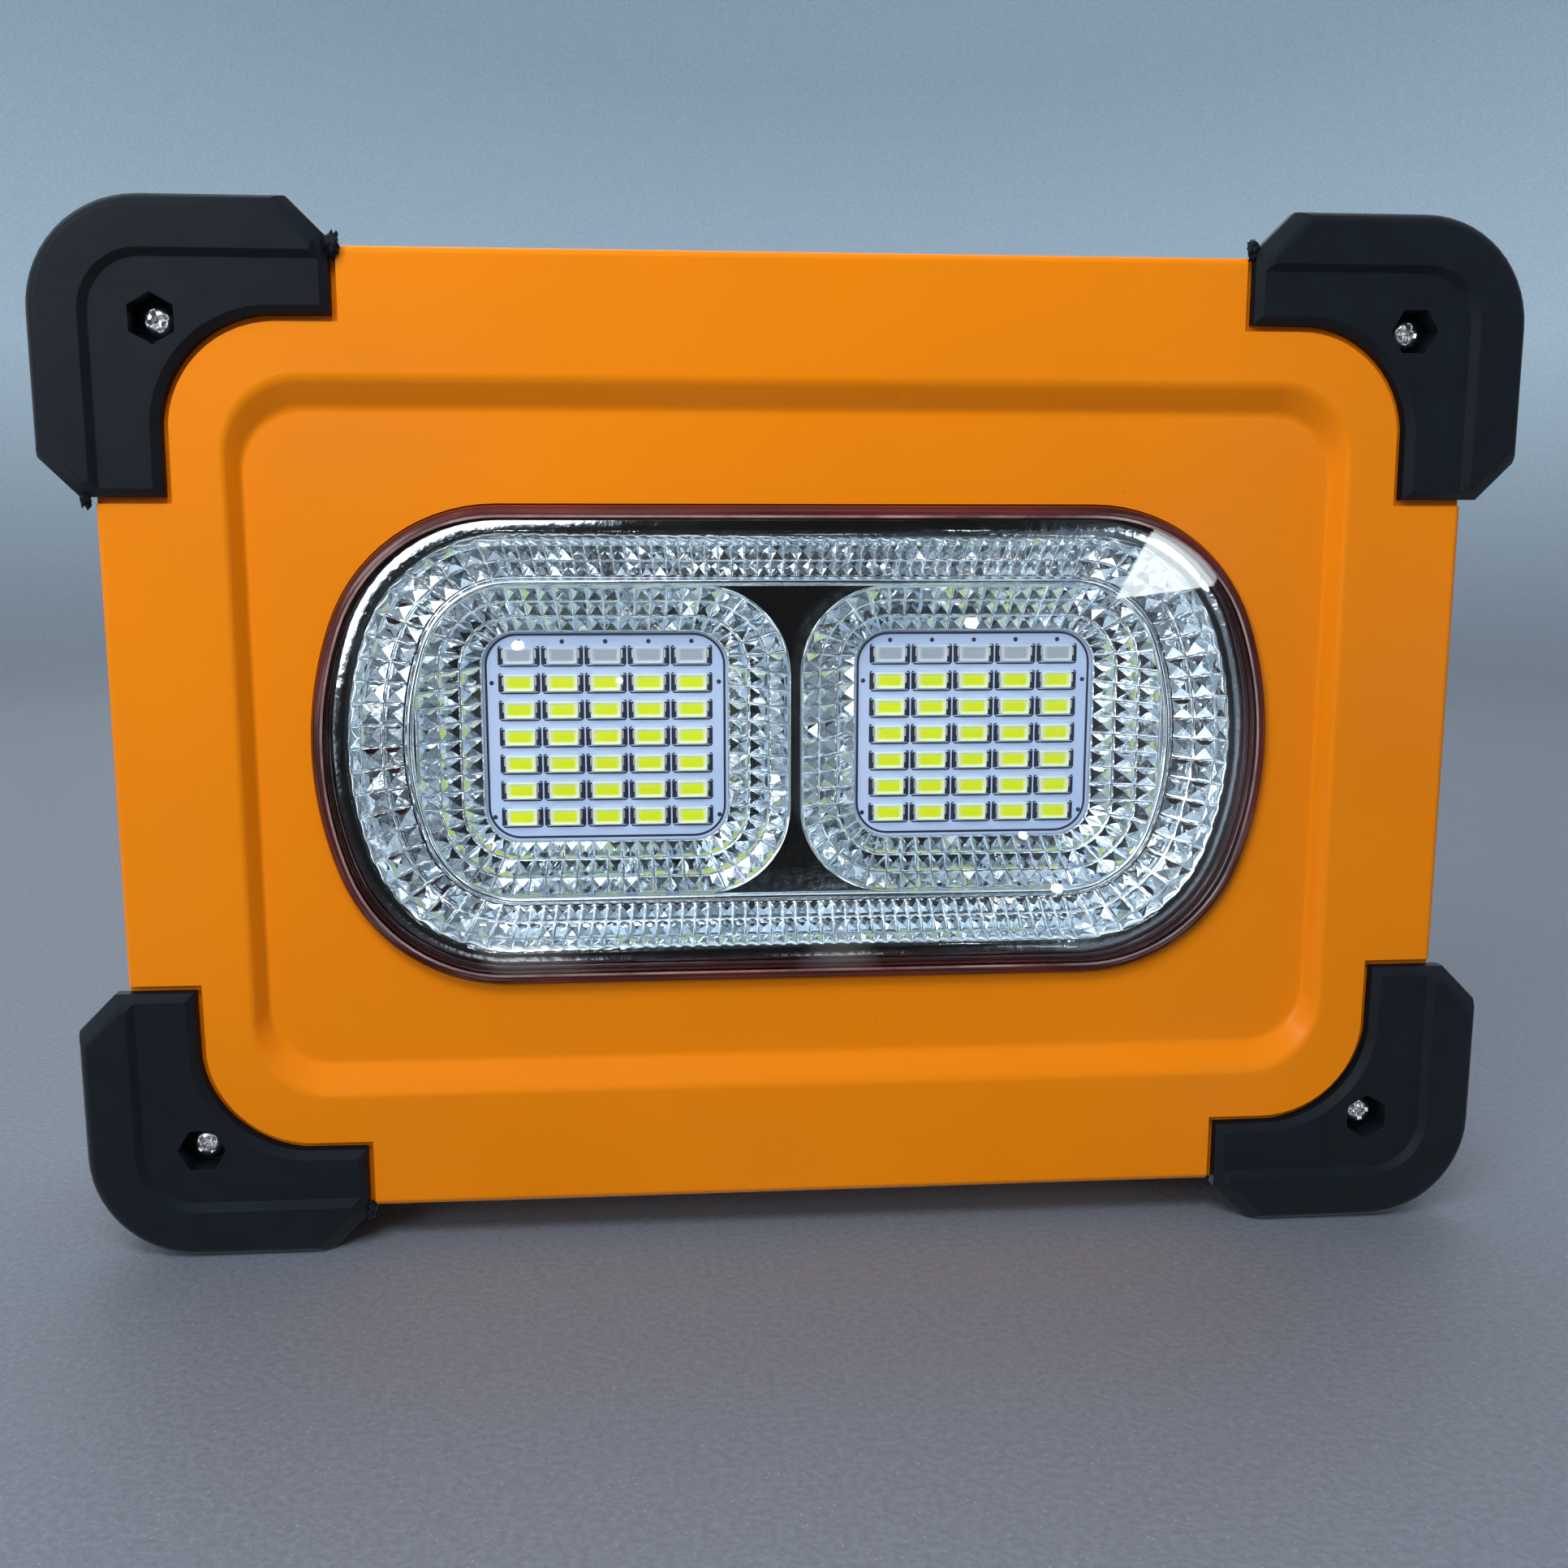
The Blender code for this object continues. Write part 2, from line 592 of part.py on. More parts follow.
def make_rear_cover():
    rings = [(REAR_START_Y, case_outline())]
    cover = loft("rear_cover", rings + edge_rings(BACK_Y, -1, case_outline)[::-1])
    cut(cover, rear_hollow())
    cut(cover, plate("stand_channel", channel_outline(STAND_R + CHANNEL_CLEAR,
                                                      CASE_HALF_Z + 0.004),
                     CHANNEL_FLOOR_Y, BACK_Y + 0.002))
    cut(cover, plate("solar_recess", rounded_rect(SOLAR_HALF_X + GAP, SOLAR_HALF_Z + GAP,
                                                  0.003, z=SOLAR_Z),
                     BACK_Y - SOLAR_RECESS, BACK_Y + 0.002))
    cut(cover, box("finger_notch", (-NOTCH_HALF_X, NOTCH_HALF_X),
                   (BACK_Y - NOTCH_DEPTH, BACK_Y + 0.002),
                   (STAND_BAR_Z - 0.012, STAND_BAR_Z - 0.002)))
    cut(cover, rod("solar_wire_hole", (WIRE_HOLE_X, 0.015, WIRE_HOLE_Z),
                   (WIRE_HOLE_X, BACK_Y, WIRE_HOLE_Z), WIRE_HOLE_R, 12))
    for tag, corner in CORNERS.items():
        cut(cover, plate("rear_pocket_" + tag, pocket_outline(corner, POCKET_MARGIN),
                         BACK_Y - POCKET_DEPTH, BACK_Y + 0.002))
        x, z = corner[0] * SCREW_X, corner[1] * SCREW_Z
        cut(cover, rod("rear_pilot_" + tag, (x, REAR_START_Y - 0.002, z),
                       (x, BACK_Y - 0.006, z), SCREW_PILOT_R, 12))
    for side, sign in SIDES.items():
        x_range = (sign * (CLIP_X0 - GAP), sign * (STAND_X - 0.003))
        cut(cover, box("clip_pocket_" + side, x_range, (CHANNEL_FLOOR_Y, BACK_Y + 0.002),
                       (STAND_HINGE_Z - CLIP_HALF_Z - GAP, STAND_HINGE_Z + CLIP_HALF_Z + GAP)))
        for spot in (-1, 1):
            z = STAND_HINGE_Z + spot * CLIP_SCREW_Z
            x = sign * (CLIP_X0 + CLIP_X1) / 2
            cut(cover, rod("clip_pilot_" + side + str(spot), (x, CHANNEL_FLOOR_Y - 0.0070, z),
                           (x, BACK_Y, z), 0.0015, 8))
    wall_in = CASE_HALF_X - 0.004
    wall_out = CASE_HALF_X + 0.004
    recess_x = CASE_HALF_X - 0.0011
    cut(cover, box("port_recess", (recess_x, wall_out),
                   (COVER_HINGE_Y - COVER_WIDTH - GAP, COVER_HINGE_Y + 0.0013),
                   (COVER_MID_Z - COVER_HALF_Z - GAP, COVER_MID_Z + COVER_HALF_Z + GAP)))
    cut(cover, box("usb_a_hole", (wall_in, wall_out), (PORT_Y - 0.0032, PORT_Y + 0.0032),
                   (USB_A_Z - 0.0069, USB_A_Z + 0.0069)))
    cut(cover, box("usb_c_hole", (wall_in, wall_out), (PORT_Y - 0.0020, PORT_Y + 0.0020),
                   (USB_C_Z - 0.0049, USB_C_Z + 0.0049)))
    cut(cover, rod("button_hole", (wall_in, PORT_Y, BUTTON_Z), (wall_out, PORT_Y, BUTTON_Z),
                   BUTTON_R + GAP, 24))
    for spot in range(4):
        z = LIGHT_Z + (spot - 1.5) * LIGHT_PITCH
        cut(cover, rod("light_hole_" + str(spot), (wall_in, PORT_Y, z), (wall_out, PORT_Y, z),
                       0.0014, 8))
    cut(cover, box("board_slot", (CONTROL_X - 0.0011, CONTROL_X + 0.0011),
                   (REAR_START_Y, CONTROL_Y + CONTROL_HALF_Y + GAP),
                   (CONTROL_LOW - GAP, CONTROL_HIGH + GAP)))
    as_part(cover, (0.80, 0.28, 0.012), 0.42)


def make_case_seal():
    y = FRONT_END_Y + GAP
    seal = plate("case_seal", case_outline(0.0002), y, y + SEAL_THICK)
    cut(seal, plate("seal_inside", case_outline(WALL - 0.0004), y - 0.001, y + 0.002))
    as_part(seal, (0.02, 0.02, 0.022), 0.7)


def make_bumper(tag, corner):
    """One corner bumper: front and rear L plates joined by a waisted wall around the corner."""
    front = FACE_Y - BUMPER_PROUD - RIM_RISE
    plane = FACE_Y - BUMPER_PROUD
    rings = [(front, 0.0020, BUMPER_EDGE + RIM_RISE), (front + 0.0006, 0.0008, 0.0018),
             (plane, 0.0003, BUMPER_EDGE), (plane + BUMPER_EDGE, 0.0, 0.0),
             (plane + BUMPER_PLATE, 0.0, 0.0),
             (plane + BUMPER_PLATE + WAIST_SLOPE, WAIST_INSET, WAIST_SHORTER)]
    rings = [(y, bumper_outline(corner, outer, inner)) for y, outer, inner in rings]
    bumper = loft("corner_bumper_" + tag, rings + [(-y, ring) for y, ring in reversed(rings)])
    plate_y = FACE_Y + POCKET_DEPTH - GAP
    cut(bumper, plate("case_space_" + tag, case_outline(-GAP), plate_y, -plate_y))
    x, z = corner[0] * SCREW_X, corner[1] * SCREW_Z
    seat_y = depth(SCREW_SEAT_DEPTH)
    join(bumper, rod("bumper_boss_" + tag, (x, plate_y - 0.001, z),
                     (x, depth(BOSS_POCKET_DEPTH) - GAP, z), BOSS_POCKET_R - 0.0005))
    for sign, name in ((-1, "front"), (1, "rear")):
        cut(bumper, rim_step(name, sign))
    hex_phase = 0.0 if corner[0] * corner[1] < 0 else math.radians(30)
    hex_r = HEX_FLATS / math.sqrt(3)
    cut(bumper, rod("hex_hole_" + tag, (x, front - 0.001, z), (x, seat_y, z), hex_r, 6, hex_phase))
    cut(bumper, rod("bumper_screw_hole_" + tag, (x, seat_y - 0.001, z),
                    (x, seat_y + 0.004, z), SCREW_PILOT_R, 12))
    as_part(bumper, (0.020, 0.024, 0.030), 0.62)


def rim_step(name, sign):
    """Tool that lowers the inner plates of all four bumpers behind their raised rim."""
    known = bpy.data.objects.get("rim_step_" + name)
    if known:
        return known
    plane = sign * (BACK_Y + BUMPER_PROUD)

    def inner(inset):
        return rounded_rect(BUMPER_HALF_X - inset, BUMPER_HALF_Z - inset,
                            BUMPER_CORNER_R - inset)

    wide = inner(RIM_WIDTH)
    return loft("rim_step_" + name, [(plane + sign * (RIM_RISE + 0.001), wide),
                                     (plane + sign * RIM_RISE, wide),
                                     (plane, inner(RIM_WIDTH + RIM_SLOPE))])


def make_screw(name, seat, direction, sizes, steps=8):
    """A cross-head screw. Its head rests on the seat and its shank points along Y."""
    head_r, head_height, shank_r, length = sizes
    profile = [(0, head_height), (head_r * 0.6, head_height), (head_r, head_height * 0.55),
               (head_r, 0), (shank_r, 0), (shank_r, -length + shank_r), (0, -length)]
    screw = turned(name, profile, steps)
    screw.rotation_euler = (math.pi / 2 * direction, 0, 0)
    screw.location = (seat[0], seat[1], height(seat[2]))
    arm = head_r * 0.62
    slot = head_r * 0.13
    top = seat[1] - direction * head_height
    bottom = seat[1] - direction * head_height * 0.45
    for tag, x_arm, z_arm in (("a", arm, slot), ("b", slot, arm)):
        cut(screw, box(name + "_slot_" + tag, (seat[0] - x_arm, seat[0] + x_arm),
                       (top - direction * 0.001, bottom), (seat[2] - z_arm, seat[2] + z_arm)))
    as_part(screw, (0.70, 0.71, 0.72), 0.28, 1.0)


# Lamp

def make_lens():
    front = depth(LENS_FRONT_DEPTH)
    rings = [(front, -0.0016), (front + 0.0005, -0.0006), (front + 0.0016, 0.0),
             (depth(LENS_BACK_DEPTH), 0.0)]
    lens = loft("lens", [(y, lens_outline(grow)) for y, grow in rings])
    cut(lens, loft("lens_inside", [(front + LENS_TOP, lens_outline(-LENS_WALL - 0.0006)),
                                   (front + LENS_TOP + 0.0006, lens_outline(-LENS_WALL)),
                                   (depth(LENS_BACK_DEPTH) + 0.001, lens_outline(-LENS_WALL))]))
    as_part(lens, (0.95, 0.96, 0.97), 0.04, 0.0, 0.25)


def make_lens_gasket():
    back = depth(LEDGE_DEPTH) - GAP
    gasket = plate("lens_gasket", lens_outline(-0.0002), depth(LENS_BACK_DEPTH) + GAP, back)
    cut(gasket, plate("gasket_inside", lens_outline(-LENS_WALL - 0.0002), depth(0.003),
                      depth(0.008)))
    as_part(gasket, (0.06, 0.012, 0.012), 0.3)


def make_reflector():
    deck = depth(DECK_DEPTH)
    deck_back = deck + DECK_PLATE
    body = plate("reflector", rounded_rect(FLANGE_HALF_X, FLANGE_HALF_Z, FLANGE_CORNER_R, z=LAMP_Z),
                 deck, deck_back)
    join(body, plate("reflector_rim", lens_outline(-REFLECTOR_RIM_INSET),
                     depth(REFLECTOR_RIM_DEPTH), deck + 0.0006))
    for side, sign in SIDES.items():
        join(body, well("well_shell_" + side, sign, WELL_WALL, 0.0002, WELL_BACK_DEPTH))
        for spot in (-1, 1):
            x, z = sign * POST_X, LAMP_Z + spot * POST_Z
            join(body, rod("post_" + side + str(spot), (x, deck + 0.0006, z),
                           (x, depth(0.0205), z), POST_R, 10))
    band = [(depth(REFLECTOR_RIM_DEPTH) - 0.0010, 0.0004 - REFLECTOR_RIM_INSET),
            (depth(BAND_DEPTH), -BAND_OUTER_INSET), (deck - 0.0001, -BAND_INNER_INSET)]
    cut(body, loft("band", [(y, lens_outline(grow)) for y, grow in band]))
    for side, sign in SIDES.items():
        cut(body, well("well_" + side, sign, 0.0, -0.0010, WELL_BACK_DEPTH + 0.0005))
        for spot in (-1, 1):
            x, z = sign * POST_X, LAMP_Z + spot * POST_Z
            cut(body, rod("post_pilot_" + side + str(spot), (x, depth(0.0125), z),
                          (x, depth(0.0220), z), SMALL_PILOT_R, 8))
            x, z = sign * FLANGE_SCREW_X, LAMP_Z + spot * FLANGE_SCREW_Z
            cut(body, rod("flange_hole_" + side + str(spot), (x, deck - 0.002, z),
                          (x, deck_back + 0.002, z), SMALL_HOLE_R, 8))
    as_part(body, (0.80, 0.81, 0.82), 0.08, 1.0)


def well(name, sign, grow, start, end_depth):
    """One sloped well of the reflector, from the deck down to the window over its board."""
    centre = {"x": sign * WELL_X, "z": LAMP_Z}
    top = rounded_rect(WELL_HALF_X + grow, WELL_HALF_Z + grow, WELL_CORNER_R + grow, 6, **centre)
    bottom = rounded_rect(WINDOW_HALF_X + grow, WINDOW_HALF_Z + grow, WINDOW_CORNER_R + grow, 6,
                          **centre)
    return loft(name, [(depth(DECK_DEPTH + start), top), (depth(DECK_DEPTH + 0.0004), top),
                       (depth(LED_TOP_DEPTH - 0.0002), bottom), (depth(end_depth), bottom)])


def make_led_board(side, sign):
    """A white board with rows of surface-mounted LEDs."""
    front = depth(LED_TOP_DEPTH + LED_HEIGHT)
    board = plate("led_board_" + side,
                  rounded_rect(LED_BOARD_HALF_X, LED_BOARD_HALF_Z, BOARD_CORNER_R, 2,
                               x=sign * WELL_X, z=LAMP_Z),
                  front, front + BOARD_THICK)
    for column in range(LED_COLUMNS):
        for row in range(LED_ROWS):
            x = sign * WELL_X + (column - (LED_COLUMNS - 1) / 2) * LED_PITCH_X
            z = LAMP_Z + (row - (LED_ROWS - 1) / 2) * LED_PITCH_Z
            join(board, box("led_{}_{}_{}".format(side, column, row),
                            (x - LED_HALF_X, x + LED_HALF_X),
                            (depth(LED_TOP_DEPTH), front + 0.0004),
                            (z - LED_HALF_Z, z + LED_HALF_Z)))
    as_part(board, (0.80, 0.84, 0.90), 0.45)


def make_heat_spreader():
    front = depth(LED_TOP_DEPTH + LED_HEIGHT) + BOARD_THICK + GAP
    spreader = plate("heat_spreader", rounded_rect(SPREADER_HALF_X, SPREADER_HALF_Z,
                                                   SPREADER_CORNER_R, 2, z=LAMP_Z),
                     front, front + SPREADER_THICK)
    for sign in (-1, 1):
        for spot in (-1, 1):
            x, z = sign * POST_X, LAMP_Z + spot * POST_Z
            cut(spreader, rod("spreader_hole", (x, front - 0.002, z), (x, front + 0.004, z),
                              SMALL_HOLE_R, 8))
    as_part(spreader, (0.62, 0.63, 0.65), 0.35, 1.0)


def make_inner_screws():
    """Screws from behind: four for the heat spreader, four for the reflector's flange."""
    spreader_back = depth(LED_TOP_DEPTH + LED_HEIGHT) + BOARD_THICK + GAP + SPREADER_THICK
    flange_back = depth(DECK_DEPTH) + DECK_PLATE
    for tag, (side_x, side_z) in CORNERS.items():
        make_screw("spreader_screw_" + tag,
                   (side_x * POST_X, spreader_back + GAP, LAMP_Z + side_z * POST_Z),
                   -1, SPREADER_SCREW_SIZES)
        make_screw("reflector_screw_" + tag,
                   (side_x * FLANGE_SCREW_X, flange_back + GAP,
                    LAMP_Z + side_z * FLANGE_SCREW_Z),
                   -1, FLANGE_SCREW_SIZES)


# Battery and electronics

def make_battery_cell(number):
    profile = [(0, CELL_HALF + 0.0008), (0.0030, CELL_HALF + 0.0008), (0.0032, CELL_HALF - 0.0006),
               (0.0074, CELL_HALF - 0.0006), (0.0084, CELL_HALF), (CELL_R, CELL_HALF - 0.0008),
               (CELL_R, -CELL_HALF + 0.0006), (CELL_R - 0.0006, -CELL_HALF), (0, -CELL_HALF)]
    cell = turned("battery_cell_" + str(number), profile, 18)
    cell.location = ((number - 2.5) * CELL_PITCH, BATTERY_Y, height(CELL_MID_Z))
    as_part(cell, (0.03, 0.16, 0.42), 0.35)


def make_battery_spacer(end, sign):
    """End block with a round pocket for each cell and a contact hole behind it."""
    cell_end = CELL_MID_Z + sign * (CELL_HALF + 0.0008 + GAP)
    outer = cell_end + sign * SPACER_FLOOR
    inner = outer - sign * SPACER_HEIGHT
    spacer = box("battery_spacer_" + end, (-SPACER_HALF_X, SPACER_HALF_X),
                 (BATTERY_Y - SPACER_HALF_Y, BATTERY_Y + SPACER_HALF_Y), (inner, outer))
    for number in range(4):
        x = (number - 1.5) * CELL_PITCH
        cut(spacer, rod("cell_pocket_" + end + str(number), (x, BATTERY_Y, cell_end),
                        (x, BATTERY_Y, inner - sign * 0.002), CELL_R + GAP, 18))
        cut(spacer, rod("contact_hole_" + end + str(number),
                        (x, BATTERY_Y, cell_end - sign * 0.001),
                        (x, BATTERY_Y, outer + sign * 0.001), 0.0045, 8))
    as_part(spacer, (0.04, 0.04, 0.045), 0.6)
    strip_z = outer + sign * GAP
    strip = box("battery_strip_" + end, (-0.034, 0.034), (BATTERY_Y - 0.004, BATTERY_Y + 0.004),
                (strip_z, strip_z + sign * 0.0005))
    as_part(strip, (0.70, 0.69, 0.66), 0.3, 1.0)
    return strip_z


def make_control_board():
    """Upright board behind the side wall, with its parts on the inner side."""
    left = CONTROL_X - BOARD_THICK / 2
    right = CONTROL_X + BOARD_THICK / 2
    y_range = (CONTROL_Y - CONTROL_HALF_Y, CONTROL_Y + CONTROL_HALF_Y)
    board = box("control_board", (left, right), y_range, (CONTROL_LOW, CONTROL_HIGH))
    chips = {"inductor": (0.0060, 0.012, -0.010, 0.0100), "charger": (0.0016, 0.010, 0.004, 0.0050),
             "driver": (0.0016, 0.010, 0.015, 0.0050), "capacitor": (0.0070, 0.013, -0.024, 0.0070)}
    for name, (tall, y, z, size) in chips.items():
        join(board, box(name, (left - tall, left + 0.0004), (y - size / 2, y + size / 2),
                        (z - size / 2, z + size / 2)))
    for spot in range(4):
        z = LIGHT_Z + (spot - 1.5) * LIGHT_PITCH
        join(board, box("indicator_" + str(spot), (right - 0.0004, right + 0.0008),
                        (PORT_Y - 0.0008, PORT_Y + 0.0008), (z - 0.0010, z + 0.0010)))
    as_part(board, (0.02, 0.16, 0.07), 0.5)


def make_usb_socket(name, z, half_y, half_z, wall, tongue_y, tongue_z):
    """A socket on the control board that opens through the side wall."""
    back = CONTROL_X + BOARD_THICK / 2 + GAP
    mouth = CASE_HALF_X - 0.0016
    socket = box(name, (back, mouth), (PORT_Y - half_y, PORT_Y + half_y), (z - half_z, z + half_z))
    space = box(name + "_space", (back + 0.0020, mouth + 0.002),
                (PORT_Y - half_y + wall, PORT_Y + half_y - wall),
                (z - half_z + wall, z + half_z - wall))
    cut(space, box(name + "_tongue", (back, mouth - 0.0010), (PORT_Y - tongue_y, PORT_Y + tongue_y),
                   (z - tongue_z, z + tongue_z)))
    cut(socket, space)
    as_part(socket, (0.66, 0.67, 0.69), 0.3, 1.0)


def make_power_switch():
    base = CONTROL_X + BOARD_THICK / 2 + GAP
    switch = box("power_switch", (base, base + 0.0035), (PORT_Y - 0.003, PORT_Y + 0.003),
                 (BUTTON_Z - 0.003, BUTTON_Z + 0.003))
    join(switch, rod("switch_plunger", (base + 0.003, PORT_Y, BUTTON_Z),
                     (base + 0.0049, PORT_Y, BUTTON_Z), 0.0017, 12))
    as_part(switch, (0.03, 0.03, 0.03), 0.5)
    return base + 0.0049


def make_power_button(plunger_x):
    """Round cap with a flange behind the wall and a stem over the switch."""
    inside = CASE_HALF_X - WALL
    flange = inside - GAP - plunger_x
    proud = CASE_HALF_X + 0.0010 - plunger_x
    profile = [(0, proud), (BUTTON_R - 0.0006, proud), (BUTTON_R, proud - 0.0006),
               (BUTTON_R, flange), (BUTTON_R + 0.0012, flange), (BUTTON_R + 0.0012, flange - 0.0012),
               (0.0020, flange - 0.0012), (0.0020, BUTTON_TRAVEL_GAP), (0, BUTTON_TRAVEL_GAP)]
    button = turned("power_button", profile, 24)
    button.rotation_euler = (0, math.pi / 2, 0)
    button.location = (plunger_x, PORT_Y, height(BUTTON_Z))
    as_part(button, (0.02, 0.02, 0.022), 0.45)


def make_light_pipe():
    inside = CASE_HALF_X - WALL - GAP
    half = 2 * LIGHT_PITCH
    pipe = box("light_pipe", (inside - 0.0016, inside), (PORT_Y - 0.0015, PORT_Y + 0.0015),
               (LIGHT_Z - half, LIGHT_Z + half))
    for spot in range(4):
        z = LIGHT_Z + (spot - 1.5) * LIGHT_PITCH
        join(pipe, rod("light_pin_" + str(spot), (inside - 0.001, PORT_Y, z),
                       (CASE_HALF_X + 0.0002, PORT_Y, z), 0.0010, 8))
    as_part(pipe, (0.85, 0.88, 0.90), 0.2)


def make_port_cover():
    """Rubber flap over the sockets, hinged on a bead along its rear edge."""
    axis_x = CASE_HALF_X + 0.0001
    low, high = COVER_MID_Z - COVER_HALF_Z, COVER_MID_Z + COVER_HALF_Z
    flap = box("port_cover", (axis_x - COVER_THICK / 2, axis_x + COVER_THICK / 2),
               (COVER_HINGE_Y - COVER_WIDTH, COVER_HINGE_Y), (low, high))
    join(flap, rod("cover_bead", (axis_x, COVER_HINGE_Y, low), (axis_x, COVER_HINGE_Y, high),
                   COVER_THICK / 2 + 0.00005, 12))
    front = COVER_HINGE_Y - COVER_WIDTH
    join(flap, box("cover_tab", (axis_x + 0.0003, axis_x + COVER_THICK / 2 + 0.0001),
                   (front - 0.0020, front + 0.001), (COVER_MID_Z - 0.005, COVER_MID_Z + 0.005)))
    place_origin(flap, (axis_x, COVER_HINGE_Y, height(COVER_MID_Z)))
    as_part(flap, (0.02, 0.02, 0.022), 0.7)


def place_origin(thing, point):
    """Move an object's origin to a world point and leave its shape in place."""
    offset = Vector(point) - thing.location
    for vert in thing.data.vertices:
        vert.co = vert.co - offset
    thing.location = point


# Back of the lamp

def make_solar_panel():
    floor = BACK_Y - SOLAR_RECESS
    outline = rounded_rect(SOLAR_HALF_X, SOLAR_HALF_Z, SOLAR_CORNER_R, 2, z=SOLAR_Z)
    tape_outline = rounded_rect(SOLAR_HALF_X - TAPE_INSET, SOLAR_HALF_Z - TAPE_INSET,
                                SOLAR_CORNER_R, 2, z=SOLAR_Z)
    tape = plate("solar_tape", tape_outline, floor + GAP, floor + GAP + TAPE_THICK)
    cut(tape, rod("tape_hole", (WIRE_HOLE_X, floor - 0.002, WIRE_HOLE_Z),
                  (WIRE_HOLE_X, floor + 0.004, WIRE_HOLE_Z), WIRE_HOLE_R + 0.0006, 12))
    as_part(tape, (0.75, 0.75, 0.72), 0.8)
    back = floor + TAPE_THICK + 2 * GAP
    panel = plate("solar_panel", outline, back, back + SOLAR_THICK)
    as_part(panel, (0.008, 0.012, 0.05), 0.15)
    return back


def make_stand():
    """Bent steel rod: two arms, a crossbar and a pin at each end on the hinge line."""
    y = STAND_AXIS_Y
    pin = STAND_PIN_BEND_R
    bend = STAND_BEND_R
    half = [(STAND_PIN_END_X, STAND_HINGE_Z)]
    half += arc(STAND_X - pin, STAND_HINGE_Z - pin, pin, 90, 0, 4)
    half += arc(STAND_X - bend, STAND_BAR_Z + bend, bend, 0, -90, 5)
    line = half + [(-x, z) for x, z in reversed(half)]
    stand = tube("stand", [(x, y, z) for x, z in line], STAND_R, 3, 1)
    stand = solid_from_curve(stand)
    place_origin(stand, (0, y, height(STAND_HINGE_Z)))
    shade_round(stand)
    as_part(stand, (0.03, 0.03, 0.032), 0.35, 0.6)


def make_stand_clip(side, sign):
    """Saddle over a stand pin, screwed down at both ends."""
    middle = sign * (CLIP_X0 + CLIP_X1) / 2
    x_range = (sign * CLIP_X0, sign * CLIP_X1)
    top = depth(CLIP_TOP_DEPTH)
    clip = box("stand_clip_" + side, x_range, (CHANNEL_FLOOR_Y + GAP, top),
               (STAND_HINGE_Z - CLIP_HALF_Z, STAND_HINGE_Z + CLIP_HALF_Z))
    wide = (sign * (CLIP_X0 + 0.0010), sign * (CLIP_X1 + 0.002))
    bore = STAND_R + GAP
    cut(clip, rod("clip_bore_" + side, (wide[0], STAND_AXIS_Y, STAND_HINGE_Z),
                  (wide[1], STAND_AXIS_Y, STAND_HINGE_Z), bore, 16))
    cut(clip, box("clip_slot_" + side, wide, (CHANNEL_FLOOR_Y - 0.001, STAND_AXIS_Y),
                  (STAND_HINGE_Z - bore, STAND_HINGE_Z + bore)))
    for spot in (-1, 1):
        z = STAND_HINGE_Z + spot * CLIP_SCREW_Z
        cut(clip, rod("clip_hole_" + side + str(spot), (middle, CHANNEL_FLOOR_Y - 0.001, z),
                      (middle, top + 0.001, z), 0.0016, 8))
        cut(clip, rod("clip_counterbore_" + side + str(spot), (middle, top - CLIP_SEAT_DROP, z),
                      (middle, top + 0.001, z), 0.0029, 12))
        make_screw("clip_screw_{}_{}".format(side, "top" if spot > 0 else "bottom"),
                   (middle, top - CLIP_SEAT_DROP + GAP, z), -1, CLIP_SCREW_SIZES)
    as_part(clip, (0.03, 0.03, 0.032), 0.5)


# Leads

def make_leads(strip_top, strip_bottom, solar_back):
    """Insulated leads: each one's colour, its end on the control board and its way there."""
    board_x = CONTROL_X - BOARD_THICK / 2 - GAP
    board_edge = LAMP_Z - LED_BOARD_HALF_Z - GAP
    led_y = depth(0.0197)
    top = strip_top + 0.0005 + GAP + 0.0007
    bottom = strip_bottom - 0.0005 - GAP - 0.0007
    routes = {
        "battery_lead_red": ((0.50, 0.01, 0.01), (0.0070, 0.0290),
                             [(0.030, 0.0088, top), (0.040, 0.0088, 0.0420),
                              (0.062, 0.0070, 0.0440), (0.082, 0.0070, 0.0370)]),
        "battery_lead_black": ((0.015, 0.015, 0.015), (0.0070, -0.0340),
                               [(0.030, 0.0088, bottom), (0.042, 0.0088, -0.0460),
                                (0.064, 0.0070, -0.0470), (0.082, 0.0070, -0.0400)]),
        "led_lead_right": ((0.70, 0.70, 0.66), (0.0050, -0.0170),
                           [(0.0321, led_y, board_edge), (0.0330, led_y - 0.0010, -0.0320),
                            (0.0440, -0.0020, -0.0420), (0.0700, 0.0030, -0.0430),
                            (0.0840, 0.0045, -0.0300)]),
        "led_lead_left": ((0.70, 0.62, 0.10), (0.0050, -0.0300),
                          [(-0.0321, led_y, board_edge), (-0.0315, led_y - 0.0010, -0.0340),
                           (-0.0200, -0.0020, -0.0500), (0.0200, 0.0000, -0.0520),
                           (0.0660, 0.0020, -0.0520), (0.0840, 0.0030, -0.0420)]),
        "solar_lead_red": ((0.50, 0.01, 0.01), (0.0180, -0.0020),
                           [(WIRE_HOLE_X - 0.0009, solar_back - GAP, WIRE_HOLE_Z),
                            (WIRE_HOLE_X - 0.0009, 0.0150, WIRE_HOLE_Z),
                            (0.0600, 0.0120, -0.0380), (0.0800, 0.0170, -0.0120)]),
        "solar_lead_black": ((0.015, 0.015, 0.015), (0.0180, -0.0170),
                             [(WIRE_HOLE_X + 0.0011, solar_back - GAP, WIRE_HOLE_Z),
                              (WIRE_HOLE_X + 0.0011, 0.0150, -0.0400),
                              (0.0620, 0.0110, -0.0410), (0.0820, 0.0180, -0.0230)]),
    }
    for name, (colour, (end_y, end_z), route) in routes.items():
        stub = [(board_x - 0.004, end_y, end_z), (board_x, end_y, end_z)]
        as_part(tube(name, route + stub, 0.0007), colour, 0.5)


